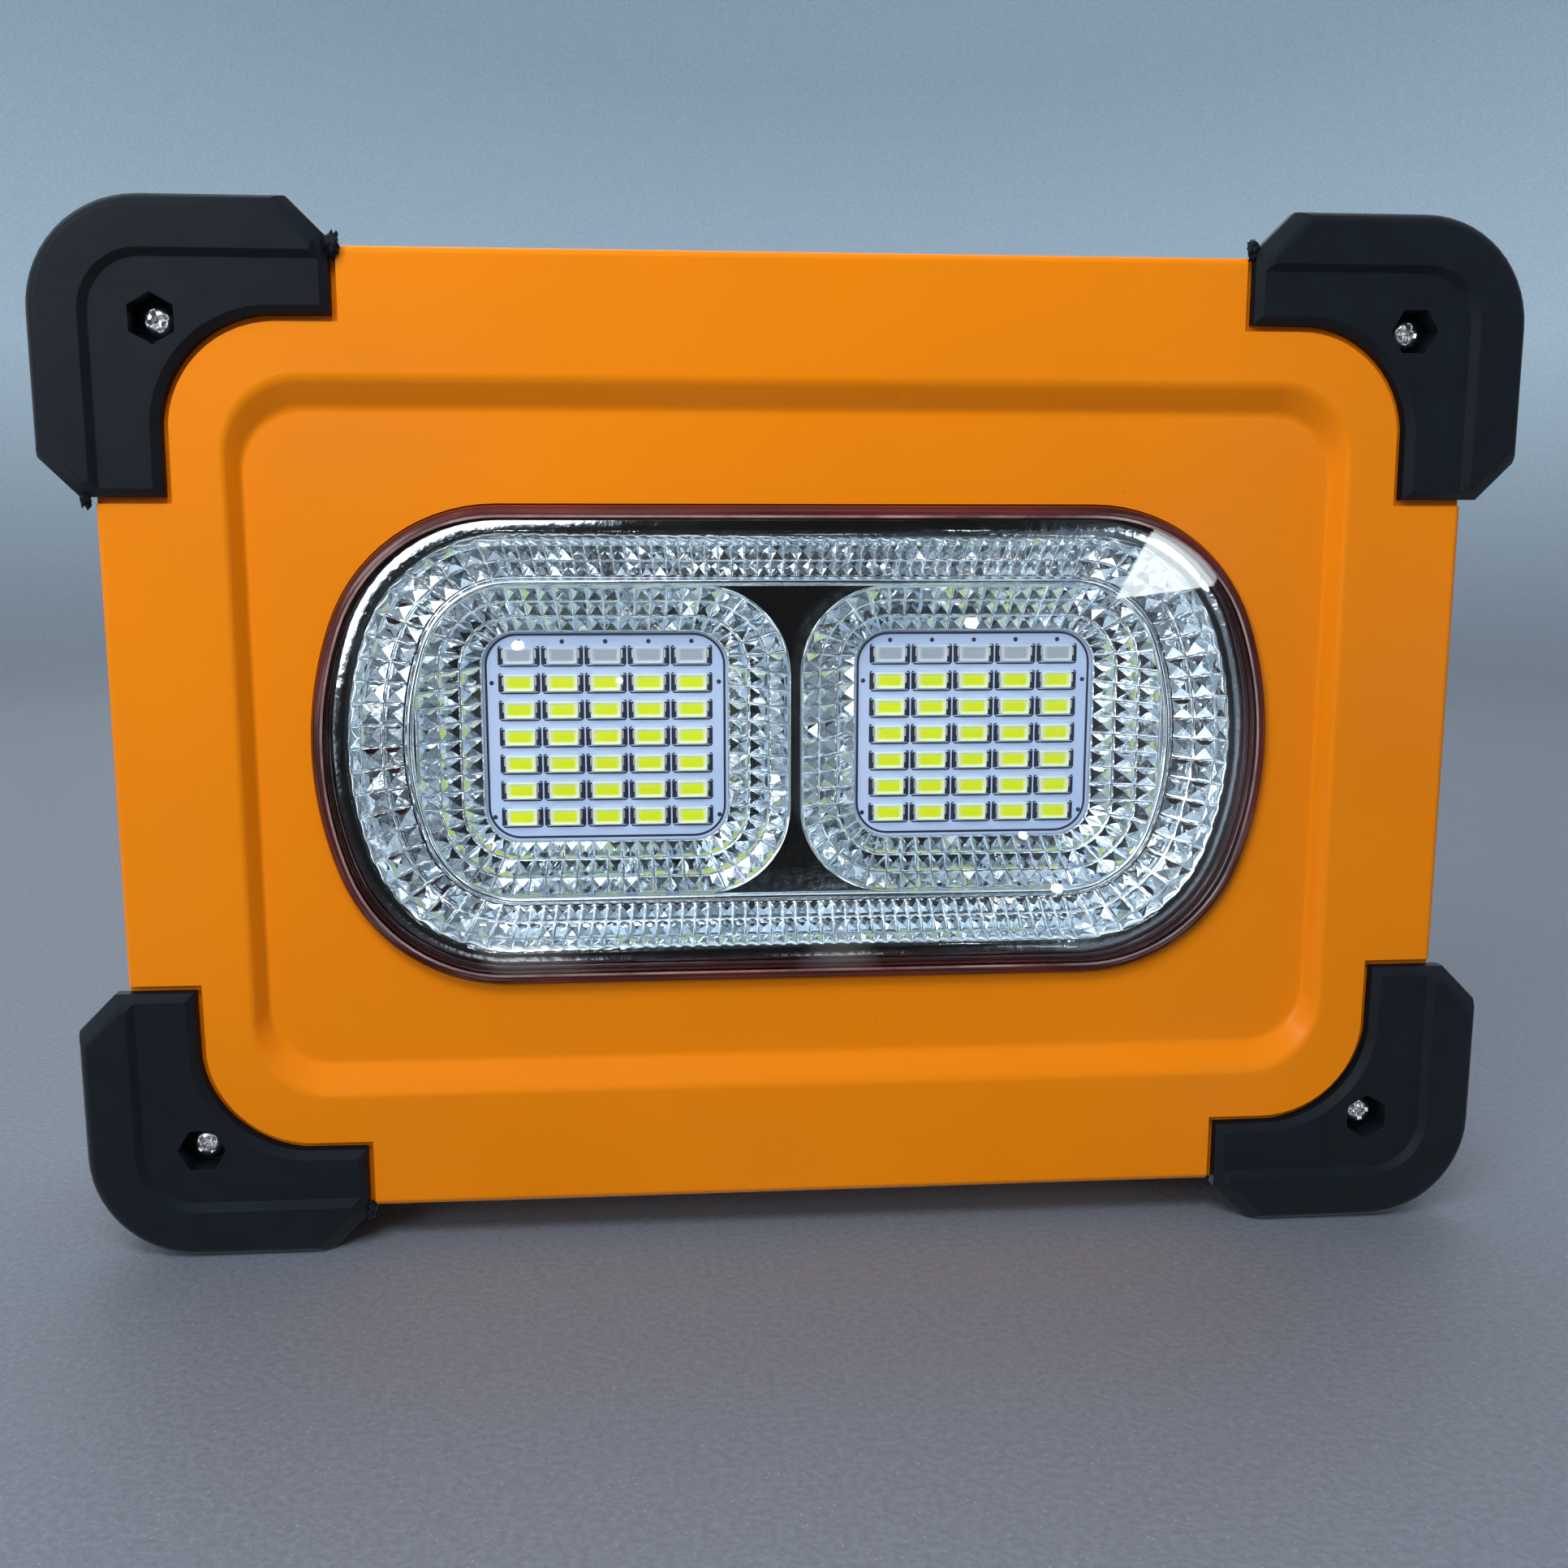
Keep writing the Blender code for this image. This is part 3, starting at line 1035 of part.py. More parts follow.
def main():
    make_front_shell()
    make_rear_cover()
    make_case_seal()
    for tag, corner in CORNERS.items():
        make_bumper(tag, corner)
        make_screw("corner_screw_" + tag,
                   (corner[0] * SCREW_X, depth(SCREW_SEAT_DEPTH) - GAP, corner[1] * SCREW_Z),
                   1, SCREW_SIZES, 12)
    make_lens()
    make_lens_gasket()
    make_reflector()
    for side, sign in SIDES.items():
        make_led_board(side, sign)
        make_stand_clip(side, sign)
    make_heat_spreader()
    make_inner_screws()
    for number in range(1, 5):
        make_battery_cell(number)
    strip_top = make_battery_spacer("top", 1)
    strip_bottom = make_battery_spacer("bottom", -1)
    make_control_board()
    make_usb_socket("usb_a_socket", USB_A_Z, 0.0029, 0.0066, 0.0004, 0.0010, 0.0055)
    make_usb_socket("usb_c_socket", USB_C_Z, 0.0017, 0.0046, 0.0003, 0.0004, 0.0033)
    make_power_button(make_power_switch())
    make_light_pipe()
    make_port_cover()
    make_leads(strip_top, strip_bottom, make_solar_panel())
    make_stand()


main()
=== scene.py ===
"""Looks of the portable solar flood light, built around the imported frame. Sizes are in metres."""
import json
import random
from math import atan2, cos, degrees, pi, radians, sin, sqrt, tau

import bmesh
import bpy
from mathutils import Matrix, Vector, noise

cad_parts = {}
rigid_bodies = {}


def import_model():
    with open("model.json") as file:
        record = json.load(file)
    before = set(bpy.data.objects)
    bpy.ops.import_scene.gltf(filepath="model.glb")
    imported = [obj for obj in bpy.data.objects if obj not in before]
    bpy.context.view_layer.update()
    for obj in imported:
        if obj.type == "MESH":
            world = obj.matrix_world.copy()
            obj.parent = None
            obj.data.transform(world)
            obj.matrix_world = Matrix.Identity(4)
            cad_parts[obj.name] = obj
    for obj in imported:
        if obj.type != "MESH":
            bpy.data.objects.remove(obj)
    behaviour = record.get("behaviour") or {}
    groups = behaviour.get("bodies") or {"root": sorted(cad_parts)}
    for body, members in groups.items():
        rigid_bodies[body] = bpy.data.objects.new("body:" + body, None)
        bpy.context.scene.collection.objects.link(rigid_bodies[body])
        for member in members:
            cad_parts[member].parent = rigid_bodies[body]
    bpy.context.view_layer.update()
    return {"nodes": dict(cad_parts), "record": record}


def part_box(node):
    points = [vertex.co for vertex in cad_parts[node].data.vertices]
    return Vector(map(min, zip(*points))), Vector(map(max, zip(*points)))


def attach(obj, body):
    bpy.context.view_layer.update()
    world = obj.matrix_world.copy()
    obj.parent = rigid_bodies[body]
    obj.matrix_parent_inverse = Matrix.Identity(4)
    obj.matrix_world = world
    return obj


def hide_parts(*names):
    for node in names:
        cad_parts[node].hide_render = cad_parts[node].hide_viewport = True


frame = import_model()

NODES = frame["nodes"]
SCENE = bpy.context.scene

# Where things are, from the frame
SHELL_LOW, SHELL_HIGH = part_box("front_shell")
LENS_LOW, LENS_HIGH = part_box("lens")
BUMPER_LOW, BUMPER_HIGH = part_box("corner_bumper_br")
COVER_LOW, COVER_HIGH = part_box("port_cover")
BUTTON_LOW, BUTTON_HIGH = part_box("power_button")
STAND_LOW, STAND_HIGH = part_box("stand")
PANEL_LOW, PANEL_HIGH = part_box("solar_panel")
FACE_Y = SHELL_LOW.y
FRONT_END_Y = SHELL_HIGH.y
MID_Z = (SHELL_LOW.z + SHELL_HIGH.z) / 2
CASE_HALF_X = SHELL_HIGH.x
CASE_HALF_Z = (SHELL_HIGH.z - SHELL_LOW.z) / 2
BUMPER_HALF_X = BUMPER_HIGH.x
BUMPER_HALF_Z = MID_Z - BUMPER_LOW.z
LENS_HALF_X = LENS_HIGH.x
LENS_HALF_Z = (LENS_HIGH.z - LENS_LOW.z) / 2
CORNERS = {"tl": (-1, 1), "tr": (1, 1), "bl": (-1, -1), "br": (1, -1)}
SIDES = {"left": -1, "right": 1}


# ---------------- outlines

def depth(value):
    """World Y of a depth behind the face of the front shell."""
    return FACE_Y + value


def height(value):
    """World Z of a height above the middle of the case."""
    return MID_Z + value


def middle_of(low, high):
    """World Y and height of the middle of a box."""
    return (low.y + high.y) / 2, (low.z + high.z) / 2 - MID_Z


def between(start, end, share):
    """Values part of the way from one sequence to another."""
    return [a + (b - a) * share for a, b in zip(start, end)]


def arc(centre_x, centre_z, radius, start, end, steps):
    points = []
    for step in range(steps + 1):
        angle = radians(start + (end - start) * step / steps)
        points.append((centre_x + radius * cos(angle), centre_z + radius * sin(angle)))
    return points


def rounded_rect(half_x, half_z, radius, steps=10, x=0.0, z=0.0):
    points = []
    for quarter, (side_x, side_z) in enumerate(((1, 1), (-1, 1), (-1, -1), (1, -1))):
        points += arc(x + side_x * (half_x - radius), z + side_z * (half_z - radius), radius,
                      90 * quarter, 90 * quarter + 90, steps)
    return points


def rect(x, z, half_x, half_z):
    return [(x + half_x, z - half_z), (x + half_x, z + half_z), (x - half_x, z + half_z),
            (x - half_x, z - half_z)]


def straight(start, end, steps):
    return [(start[0] + (end[0] - start[0]) * i / steps, start[1] + (end[1] - start[1]) * i / steps)
            for i in range(steps)]


LAMP_Z = middle_of(LENS_LOW, LENS_HIGH)[1]
LENS_CORNER_R = 0.0285
LENS_END_R = 0.06


def lens_outline(grow=0.0, end_steps=9, corner_steps=6, side_steps=1, half=None):
    """Bowed ends, round corners, straight long sides. half stretches it to other half sizes."""
    corner_z = LENS_HALF_Z - LENS_CORNER_R
    end_x = LENS_HALF_X - LENS_END_R
    reach = sqrt((LENS_END_R - LENS_CORNER_R) ** 2 - corner_z ** 2)
    meet = degrees(atan2(corner_z, reach))
    corner_x = end_x + reach
    corner = LENS_CORNER_R + grow
    top = corner_z + corner
    part = arc(end_x, 0, LENS_END_R + grow, -meet, meet, end_steps)[:-1]
    part += arc(corner_x, corner_z, corner, meet, 90, corner_steps)[:-1]
    part += straight((corner_x, top), (-corner_x, top), side_steps)
    part += arc(-corner_x, corner_z, corner, 90, 180 - meet, corner_steps)[:-1]
    points = part + [(-x, -z) for x, z in part]
    if half:
        scale_x = half[0] / (LENS_HALF_X + grow)
        scale_z = half[1] / (LENS_HALF_Z + grow)
        points = [(x * scale_x, z * scale_z) for x, z in points]
    return [(x, z + LAMP_Z) for x, z in points]


def circle(start, turn, radius, along, segments, phase=0.0):
    """World points of a circle around the turned Z axis."""
    return [start + turn @ Vector((radius * cos(phase + tau * i / segments),
                                   radius * sin(phase + tau * i / segments), along))
            for i in range(segments)]


# ---------------- solids

def link(thing):
    SCENE.collection.objects.link(thing)
    return thing


def mesh_object(name, shape, recalc=True):
    if recalc:
        bmesh.ops.recalc_face_normals(shape, faces=shape.faces)
    mesh = bpy.data.meshes.new(name)
    shape.to_mesh(mesh)
    shape.free()
    return link(bpy.data.objects.new(name, mesh))


def ring_at(shape, outline, y):
    """Vertices on an outline of (x, height) points at one world Y."""
    return [shape.verts.new((x, y, height(z))) for x, z in outline]


def join(shape, near, far, smooth=False):
    """Quads between two rings of vertices."""
    faces = [shape.faces.new((near[i - 1], near[i], far[i], far[i - 1])) for i in range(len(near))]
    for face in faces:
        face.smooth = smooth
    return faces


def skin(shape, loops, closed=False, smooth=False):
    """Quads between rings of vertices. closed joins the last to the first, else both are capped."""
    for near, far in zip(loops, loops[1:] + loops[:1] if closed else loops[1:]):
        join(shape, near, far, smooth)
    if not closed:
        shape.faces.new(loops[0])
        shape.faces.new(loops[-1])


def ring_solid(name, rings, closed=False):
    """A solid through rings of world points."""
    shape = bmesh.new()
    skin(shape, [[shape.verts.new(point) for point in ring] for ring in rings], closed)
    return mesh_object(name, shape)


def loft(name, rings, closed=False):
    """A solid through (world y, outline of x and height) rings."""
    return ring_solid(name, [[(x, y, height(z)) for x, z in outline] for y, outline in rings],
                      closed)


def plate(name, outline, y_front, y_back):
    return loft(name, [(y_front, outline), (y_back, outline)])


def box(name, x_range, y_range, z_range):
    outline = [(max(x_range), min(z_range)), (max(x_range), max(z_range)),
               (min(x_range), max(z_range)), (min(x_range), min(z_range))]
    return plate(name, outline, min(y_range), max(y_range))


def rod(name, start, end, radius, segments=32, phase=0.0):
    """A cylinder between two points (x, world y, height)."""
    first = Vector((start[0], start[1], height(start[2])))
    last = Vector((end[0], end[1], height(end[2])))
    turn = Vector((0, 0, 1)).rotation_difference(last - first).to_matrix()
    return ring_solid(name, [circle(point, turn, radius, 0, segments, phase)
                             for point in (first, last)])


def post(name, spot, y_front, y_back, *measures):
    """A cylinder along Y at a spot (x, height)."""
    x, z = spot
    return rod(name, (x, y_front, z), (x, y_back, z), *measures)


def lathe(name, profile, origin, direction, segments=40):
    """A profile of (radius, distance) spun about an axis from the origin point."""
    start = Vector((origin[0], origin[1], height(origin[2])))
    turn = Vector((0, 0, 1)).rotation_difference(Vector(direction)).to_matrix()
    shape = bmesh.new()
    loops = [[shape.verts.new(point)
              for point in circle(start, turn, radius, along, segments if radius else 1)]
             for radius, along in profile]
    for near, far in zip(loops, loops[1:]):
        for i in range(segments):
            corners = [near[i - 1], near[i]] if len(near) > 1 else [near[0]]
            corners += [far[i], far[i - 1]] if len(far) > 1 else [far[0]]
            shape.faces.new(corners)
    return mesh_object(name, shape)


def add_prism(shape, outline, y_front, y_back):
    """A closed prism along Y, added to a mesh in the making."""
    skin(shape, [ring_at(shape, outline, y_front), ring_at(shape, outline, y_back)])


def carve(target, tools, operation="DIFFERENCE"):
    """Boolean the tools with the target, keep the result as plain mesh, and remove the tools."""
    for tool in tools:
        modifier = target.modifiers.new(tool.name, "BOOLEAN")
        modifier.operation = operation
        modifier.solver = "EXACT"
        modifier.object = tool
    bpy.context.view_layer.update()
    mesh = bpy.data.meshes.new_from_object(
        target.evaluated_get(bpy.context.evaluated_depsgraph_get()))
    target.modifiers.clear()
    old = target.data
    target.data = mesh
    bpy.data.meshes.remove(old)
    for tool in tools:
        bpy.data.objects.remove(tool, do_unlink=True)
    return target


def bevel(thing, width, segments=2, angle=40):
    edges = thing.modifiers.new("edges", "BEVEL")
    edges.width = width
    edges.segments = segments
    edges.limit_method = "ANGLE"
    edges.angle_limit = radians(angle)
    return edges


def smooth_below(thing, angle):
    """Shade smoothly across the edges that are flatter than the angle."""
    thing.data.shade_smooth()
    thing.data.set_sharp_from_angle(angle=radians(angle))


def weigh_normals(thing, keep_sharp):
    thing.modifiers.new("normals", "WEIGHTED_NORMAL").keep_sharp = keep_sharp


def soften(thing, width, segments=2, angle=40):
    """Round the edges sharper than the angle, and shade smoothly with weighted normals."""
    bevel(thing, width, segments, angle)
    thing.data.shade_smooth()
    weigh_normals(thing, False)


def piece(thing, slot, material, *nodes, body="case"):
    if not thing.data.materials:
        thing.data.materials.append(LOOKS[material])
    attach(thing, body)
    if nodes:
        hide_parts(*nodes)


# ---------------- materials

LOOKS = {}


class Nodes:
    """Short calls for the nodes of a material or of the world."""

    def __init__(self, owner, coordinates):
        owner.use_nodes = True
        self.tree = owner.node_tree
        self.place = self.node("ShaderNodeTexCoord", coordinates)

    def feed(self, socket, value):
        """Link a value to a socket, or set it there."""
        if isinstance(value, bpy.types.NodeSocket):
            self.tree.links.new(value, socket)
        elif socket.type == "RGBA":
            socket.default_value = (*value, 1.0)
        else:
            socket.default_value = value

    def node(self, kind, output, inputs=None, **settings):
        """One output of a new node."""
        made = self.tree.nodes.new(kind)
        for key, value in settings.items():
            setattr(made, key, value)
        for key, value in (inputs or {}).items():
            self.feed(made.inputs[key], value)
        return made.outputs[output]

    def stretched(self, *scale):
        return self.node("ShaderNodeMapping", "Vector", {"Vector": self.place, "Scale": scale})

    def noise(self, scale, detail=3.0, place=None, distortion=0.0):
        return self.node("ShaderNodeTexNoise", "Fac", {
            "Vector": place or self.place, "Scale": scale, "Detail": detail,
            "Distortion": distortion})

    def cells(self, scale, output="Distance"):
        return self.node("ShaderNodeTexVoronoi", output, {"Vector": self.place, "Scale": scale})

    def ramp(self, source, *stops):
        made = self.tree.nodes.new("ShaderNodeValToRGB")
        elements = made.color_ramp.elements
        while len(elements) < len(stops):
            elements.new(0.5)
        for element, (position, colour) in zip(elements, stops):
            element.position = position
            if not isinstance(colour, tuple):
                colour = (colour, colour, colour)
            element.color = (*colour, 1.0)
        self.feed(made.inputs["Fac"], source)
        return made.outputs["Color"]

    def tones(self, scale, detail, low, high, start=0.3, end=0.7):
        """Noise between two colours."""
        return self.ramp(self.noise(scale, detail), (start, low), (end, high))

    def mix(self, share, first, second, mode="MIX"):
        return self.node("ShaderNodeMix", 2, {"Factor": share, 6: first, 7: second},
                         data_type="RGBA", blend_type=mode)

    def scaled(self, source, low, high, start=0.0, end=1.0):
        return self.node("ShaderNodeMapRange", "Result", {
            "Value": source, "From Min": start, "From Max": end, "To Min": low, "To Max": high})

    def maths(self, operation, first, second):
        return self.node("ShaderNodeMath", 0, {0: first, 1: second}, operation=operation)

    def bump(self, *layers):
        """Layers of (height source, strength, distance in metres), coarse first."""
        below = {}
        for source, strength, distance in layers:
            normal = self.node("ShaderNodeBump", "Normal", {
                "Height": source, "Strength": strength, "Distance": distance, **below})
            below = {"Normal": normal}
        return normal


class Look(Nodes):
    """A Principled material."""

    def __init__(self, name, **values):
        self.material = bpy.data.materials.new(name)
        super().__init__(self.material, "Object")
        self.shader = self.tree.nodes["Principled BSDF"]
        for key, value in values.items():
            self.feed(self.shader.inputs[key.replace("_", " ")], value)
        LOOKS[name] = self.material

    def surface(self, colour, rough, *bumps):
        self.feed(self.shader.inputs["Base Color"], colour)
        self.feed(self.shader.inputs["Roughness"], rough)
        if bumps:
            self.feed(self.shader.inputs["Normal"], self.bump(*bumps))

    def swap_shader(self, shader):
        """Put another shader in the place of the Principled one."""
        self.tree.nodes.remove(self.shader)
        self.feed(self.tree.nodes["Material Output"].inputs["Surface"], shader)


def tinted(colour, factor):
    return tuple(min(1.0, channel * factor) for channel in colour)


def toned_look(name, tones, rough, bumps, values):
    """Two tones mixed by noise, and roughness and bumps from noise. The tables give the numbers."""
    look = Look(name, **values)
    scale, low, high = rough
    look.surface(look.tones(*tones), look.scaled(look.noise(scale), low, high),
                 *[(look.noise(*grain), strength, distance) for grain, strength, distance in bumps])


def simple_look(name, colour, rough, grain=900.0, spread=0.12, lift=0.25, values=None):
    """A moulded, sprayed or rolled surface with fine grain and slight colour variation."""
    toned_look(name, (grain / 14, 4.0, tinted(colour, 1 - spread), tinted(colour, 1 + spread)),
               (grain / 5, rough - 0.06, rough + 0.08), [((grain, 2.0), lift, 0.00005)],
               values or {})


def orange_look(name, colour):
    """Slightly uneven moulded plastic with dark specks and fine scuffs in patches."""
    look = Look(name, Specular_IOR_Level=0.09, Coat_Weight=0.05, Coat_Roughness=0.14)
    base = look.tones(16.0, 2.0, tinted(colour, 0.93), tinted(colour, 1.05), 0.25, 0.75)
    specks = look.ramp(look.cells(95.0), (0.0, 1.0), (0.028, 0.0))
    scratches = look.ramp(look.noise(1.0, 4.0, look.stretched(2400, 300, 90), 0.6),
                          (0.66, 0.0), (0.74, 1.0))
    patch = look.tones(24.0, 2.0, 0.0, 1.0, 0.52, 0.66)
    marks = look.mix(1.0, scratches, patch, "MULTIPLY")
    look.surface(
        look.mix(look.scaled(specks, 0.0, 0.55), base, (0.16, 0.06, 0.01)),
        look.maths("ADD", look.scaled(look.noise(60.0, 4.0), 0.3, 0.42),
                   look.scaled(marks, 0.0, 0.16)),
        (look.noise(34.0, 2.0), 0.3, 0.0003), (look.noise(2600.0, 2.0), 0.1, 0.00002))


def clear_look(name, rough):
    """A clear sheet that mirrors most at a grazing angle and lets the rest through unbent."""
    look = Look(name)
    through = look.node("ShaderNodeBsdfTransparent", 0, {
        "Color": look.tones(60.0, 3.0, (0.955, 0.965, 0.97), (0.985, 0.99, 0.99))})
    mirror = look.node("ShaderNodeBsdfGlossy", 0, {
        "Roughness": rough, "Normal": look.bump((look.noise(25.0, 2.0), 0.04, 0.0003))})
    steep = look.maths("POWER", look.node("ShaderNodeLayerWeight", "Facing"), 5.0)
    look.swap_shader(look.node("ShaderNodeMixShader", 0, {
        "Fac": look.scaled(steep, 0.042, 1.0), 1: through, 2: mirror}))


def led_look(name, middle, rim):
    """White package with a filled window. The mesh says how far in the window a point is."""
    look = Look(name, Coat_Weight=0.5, Coat_Roughness=0.12)
    glow = look.node("ShaderNodeAttribute", "Fac", attribute_name="glow")
    stained = look.maths("ADD", glow, look.scaled(look.noise(1500.0), -0.1, 0.1))
    haze = tuple(a * 0.6 + b * 0.4 for a, b in zip(rim, middle))
    look.surface(
        look.ramp(stained, (0.0, rim), (0.3, haze), (0.75, middle), (1.0, middle)),
        look.scaled(look.noise(900.0, 2.0), 0.28, 0.42), (look.noise(1800.0, 2.0), 0.25, 0.00003))


# name, colour, roughness, grain, spread of colour, lift of the grain, shader values
SIMPLE_LOOKS = (
    ("bumper_rubber", (0.0036, 0.0062, 0.0098), 0.48, 2200.0, 0.22, 0.35,
     {"Specular_IOR_Level": 0.14}),
    ("seal_rubber", (0.018, 0.018, 0.02), 0.65, 1800.0),
    ("button_rubber", (0.017, 0.018, 0.02), 0.55, 2400.0, 0.2, 0.4),
    ("black_plastic", (0.02, 0.021, 0.023), 0.45, 1500.0, 0.2),
    ("foam_tape", (0.72, 0.72, 0.68), 0.85, 700.0, 0.08, 0.8),
    ("cell_wrap", (0.03, 0.16, 0.42), 0.32, 400.0),
    ("circuit_green", (0.02, 0.16, 0.07), 0.42, 600.0, 0.2),
    ("lead_red", (0.5, 0.012, 0.01), 0.45),
    ("lead_black", (0.015, 0.015, 0.016), 0.45),
    ("lead_white", (0.7, 0.7, 0.66), 0.45),
    ("lead_yellow", (0.7, 0.6, 0.09), 0.45),
    ("clear_pipe", (0.8, 0.84, 0.86), 0.18, 500.0, 0.04, 0.1, {"Transmission_Weight": 0.5}),
    ("coated_steel", (0.022, 0.022, 0.024), 0.36, 1700.0, 0.2, 0.5, {"Specular_IOR_Level": 0.6}),
    ("zinc", (0.72, 0.73, 0.75), 0.22, 900.0, 0.08, 0.25, {"Metallic": 1.0}),
    ("nickel", (0.7, 0.68, 0.64), 0.3, 500.0, 0.08, 0.25, {"Metallic": 1.0}),
    ("aluminium", (0.62, 0.63, 0.65), 0.34, 800.0, 0.08, 0.25, {"Metallic": 1.0}),
    ("socket_steel", (0.66, 0.67, 0.69), 0.24, 900.0, 0.08, 0.25, {"Metallic": 1.0}),
    ("gasket_red", (0.05, 0.01, 0.01), 0.25, 700.0, 0.25, 0.3, {"Coat_Weight": 0.6}),
    # The board ink also colours the painted shade ring around each LED window
    ("board_ink_and_gap_shade", (0.008, 0.014, 0.04), 0.4, 3000.0, 0.2),
    ("cell_silver", (0.55, 0.56, 0.58), 0.35, 900.0, 0.1, 0.2, {"Metallic": 0.9}),
    ("cell_backing", (0.02, 0.022, 0.026), 0.4, 900.0, 0.2),
)


# name, (scale, detail and two colours), (scale and range of roughness), bumps, shader values
TONED_LOOKS = (
    ("chrome", (120.0, 3.0, (0.66, 0.73, 0.78), (0.75, 0.81, 0.86)), (300.0, 0.04, 0.1),
     [((420.0, 3.0), 0.22, 0.00016)], {"Metallic": 1.0}),
    # The lens edge and its inner line: painted refraction, the orange shell seen dark red-brown and
    # pink through the thick edge
    ("lens_edge_painted_refraction", (45.0, 4.0, (0.026, 0.003, 0.003), (0.115, 0.014, 0.012)), (200.0, 0.1, 0.24),
     [((90.0, 3.0), 0.2, 0.0002)],
     {"Coat_Weight": 0.12, "Coat_Roughness": 0.05, "Specular_IOR_Level": 0.22}),
    ("lens_inner_painted_refraction", (120.0, 4.0, (0.1, 0.045, 0.045), (0.42, 0.26, 0.24)),
     (300.0, 0.15, 0.35), [], {"Coat_Weight": 0.8, "Coat_Roughness": 0.06}),
    # The board is white; the blue cast of these tones is painted shade, the cool shade inside the
    # wells
    ("board_white", (70.0, 4.0, (0.47, 0.59, 0.84), (0.55, 0.66, 0.9)), (500.0, 0.35, 0.5),
     [((1500.0, 2.0), 0.2, 0.00002)], {"Coat_Weight": 0.15, "Coat_Roughness": 0.3}),
)


def make_looks():
    for row in SIMPLE_LOOKS:
        simple_look(*row)
    for row in TONED_LOOKS:
        toned_look(*row)
    orange_look("orange_abs", (0.82, 0.222, 0.002))
    clear_look("lens_clear", 0.012)
    clear_look("panel_resin", 0.06)
    led_look("led_yellow", (0.8, 0.92, 0.004), (0.86, 0.95, 0.78))
    led_look("led_clear", (0.4, 0.45, 0.52), (0.7, 0.77, 0.82))
    cell = Look("solar_cell", Coat_Weight=1.0, Coat_Roughness=0.07, Specular_IOR_Level=0.5)
    cell.surface(cell.ramp(cell.cells(260.0, "Color"), (0.2, (0.004, 0.007, 0.03)),
                           (0.8, (0.012, 0.02, 0.075))),
                 cell.scaled(cell.noise(300.0), 0.28, 0.45), (cell.noise(40.0), 0.08, 0.0002))


make_looks()


# ---------------- front shell

RECESS_DEPTH = 0.003
RECESS_HALF = (0.0897, 0.0577)
RECESS_R = 0.012
RECESS_RUN = (0.002, 0.0043)
POCKET_DEPTH = 0.0016
POCKET_MARGIN = 0.001
CASE_R = 0.011
CASE_WALL = 0.0024
CASE_EDGE_R = 0.0012
BUMPER_LEG = 0.0447
LEG_X = BUMPER_HALF_X - BUMPER_LEG
LEG_Z = BUMPER_HALF_Z - BUMPER_LEG
BUMPER_CHAMFER = 0.0059
BUMPER_R = 0.0175
INNER_CORNER = (0.0806, 0.049)
INNER_R = 0.018
SCREW_X = 0.0986
SCREW_Z = 0.066


def mirrored(points, corner):
    flipped = [(corner[0] * x, corner[1] * z) for x, z in points]
    return flipped if corner[0] * corner[1] > 0 else flipped[::-1]


def screw_spot(corner):
    return corner[0] * SCREW_X, corner[1] * SCREW_Z


def pocket_outline(corner, margin):
    """Cut for a bumper: its inner side moved in by the margin, and open past the case."""
    end_x = LEG_X - margin
    end_z = LEG_Z - margin
    inner_r = INNER_R - margin
    points = [(INNER_CORNER[0] + inner_r, end_z), (BUMPER_HALF_X, end_z),
              (BUMPER_HALF_X, BUMPER_HALF_Z), (end_x, BUMPER_HALF_Z),
              (end_x, INNER_CORNER[1] + inner_r)]
    points += arc(*INNER_CORNER, inner_r, 90, 0, 14)[:-1]
    return mirrored(points, corner)


def recess_ring(share, soft):
    """Outline on the sloped step: share 0 at its top edge, 1 at its foot."""
    return rounded_rect(RECESS_HALF[0] - RECESS_RUN[0] * share + soft,
                        RECESS_HALF[1] - RECESS_RUN[1] * share + soft,
                        RECESS_R - RECESS_RUN[0] * share + soft, 12)


def case_ring(inset):
    return rounded_rect(CASE_HALF_X - inset, CASE_HALF_Z - inset, CASE_R - inset, 12)


def make_front_shell():
    rings = [(FRONT_END_Y, case_ring(0.0))]
    for angle in (90, 67.5, 45, 22.5, 0):
        turn = radians(angle)
        rings.append((FACE_Y + CASE_EDGE_R * (1 - cos(turn)),
                      case_ring(CASE_EDGE_R * (1 - sin(turn)))))
    body = loft("shell_front", rings)
    step = ((-0.001, -0.3, 0.0008), (-0.0002, -0.25, 0.0006), (0.0, -0.12, 0.0004),
            (0.0002, 0.02, 0.0001), (0.0006, 0.2, 0.0), (0.0024, 0.82, 0.0), (0.0028, 0.96, 0.0),
            (0.00295, 1.08, 0.0), (RECESS_DEPTH, 1.2, 0.0))
    tools = [loft("recess", [(depth(y), recess_ring(share, soft)) for y, share, soft in step]),
             plate("rebate", lens_outline(0.0002, 18, 14), depth(0.001), depth(0.0056)),
             plate("opening", lens_outline(-0.003, 16, 12), depth(0.003), depth(0.012))]
    cores = [plate("ledge_core", lens_outline(0.0022, 16, 12), depth(0.004), depth(0.0076))]
    for tag, corner in CORNERS.items():
        spot = screw_spot(corner)
        tools.append(plate("pocket_" + tag, pocket_outline(corner, POCKET_MARGIN), depth(-0.002),
                           depth(POCKET_DEPTH)))
        tools.append(post("boss_pocket_" + tag, spot, depth(0), depth(0.005), 0.0062))
        cores.append(post("boss_core_" + tag, spot, depth(0.001), FRONT_END_Y + 0.002, 0.0086))
    hollow = plate("hollow", case_ring(CASE_WALL), depth(0.0054), FRONT_END_Y + 0.001)
    carve(hollow, cores)
    carve(body, [hollow] + tools)
    soften(body, 0.00028, 2, 48)
    piece(body, "case_orange", "orange_abs", "front_shell")


# ---------------- bumpers and corner screws

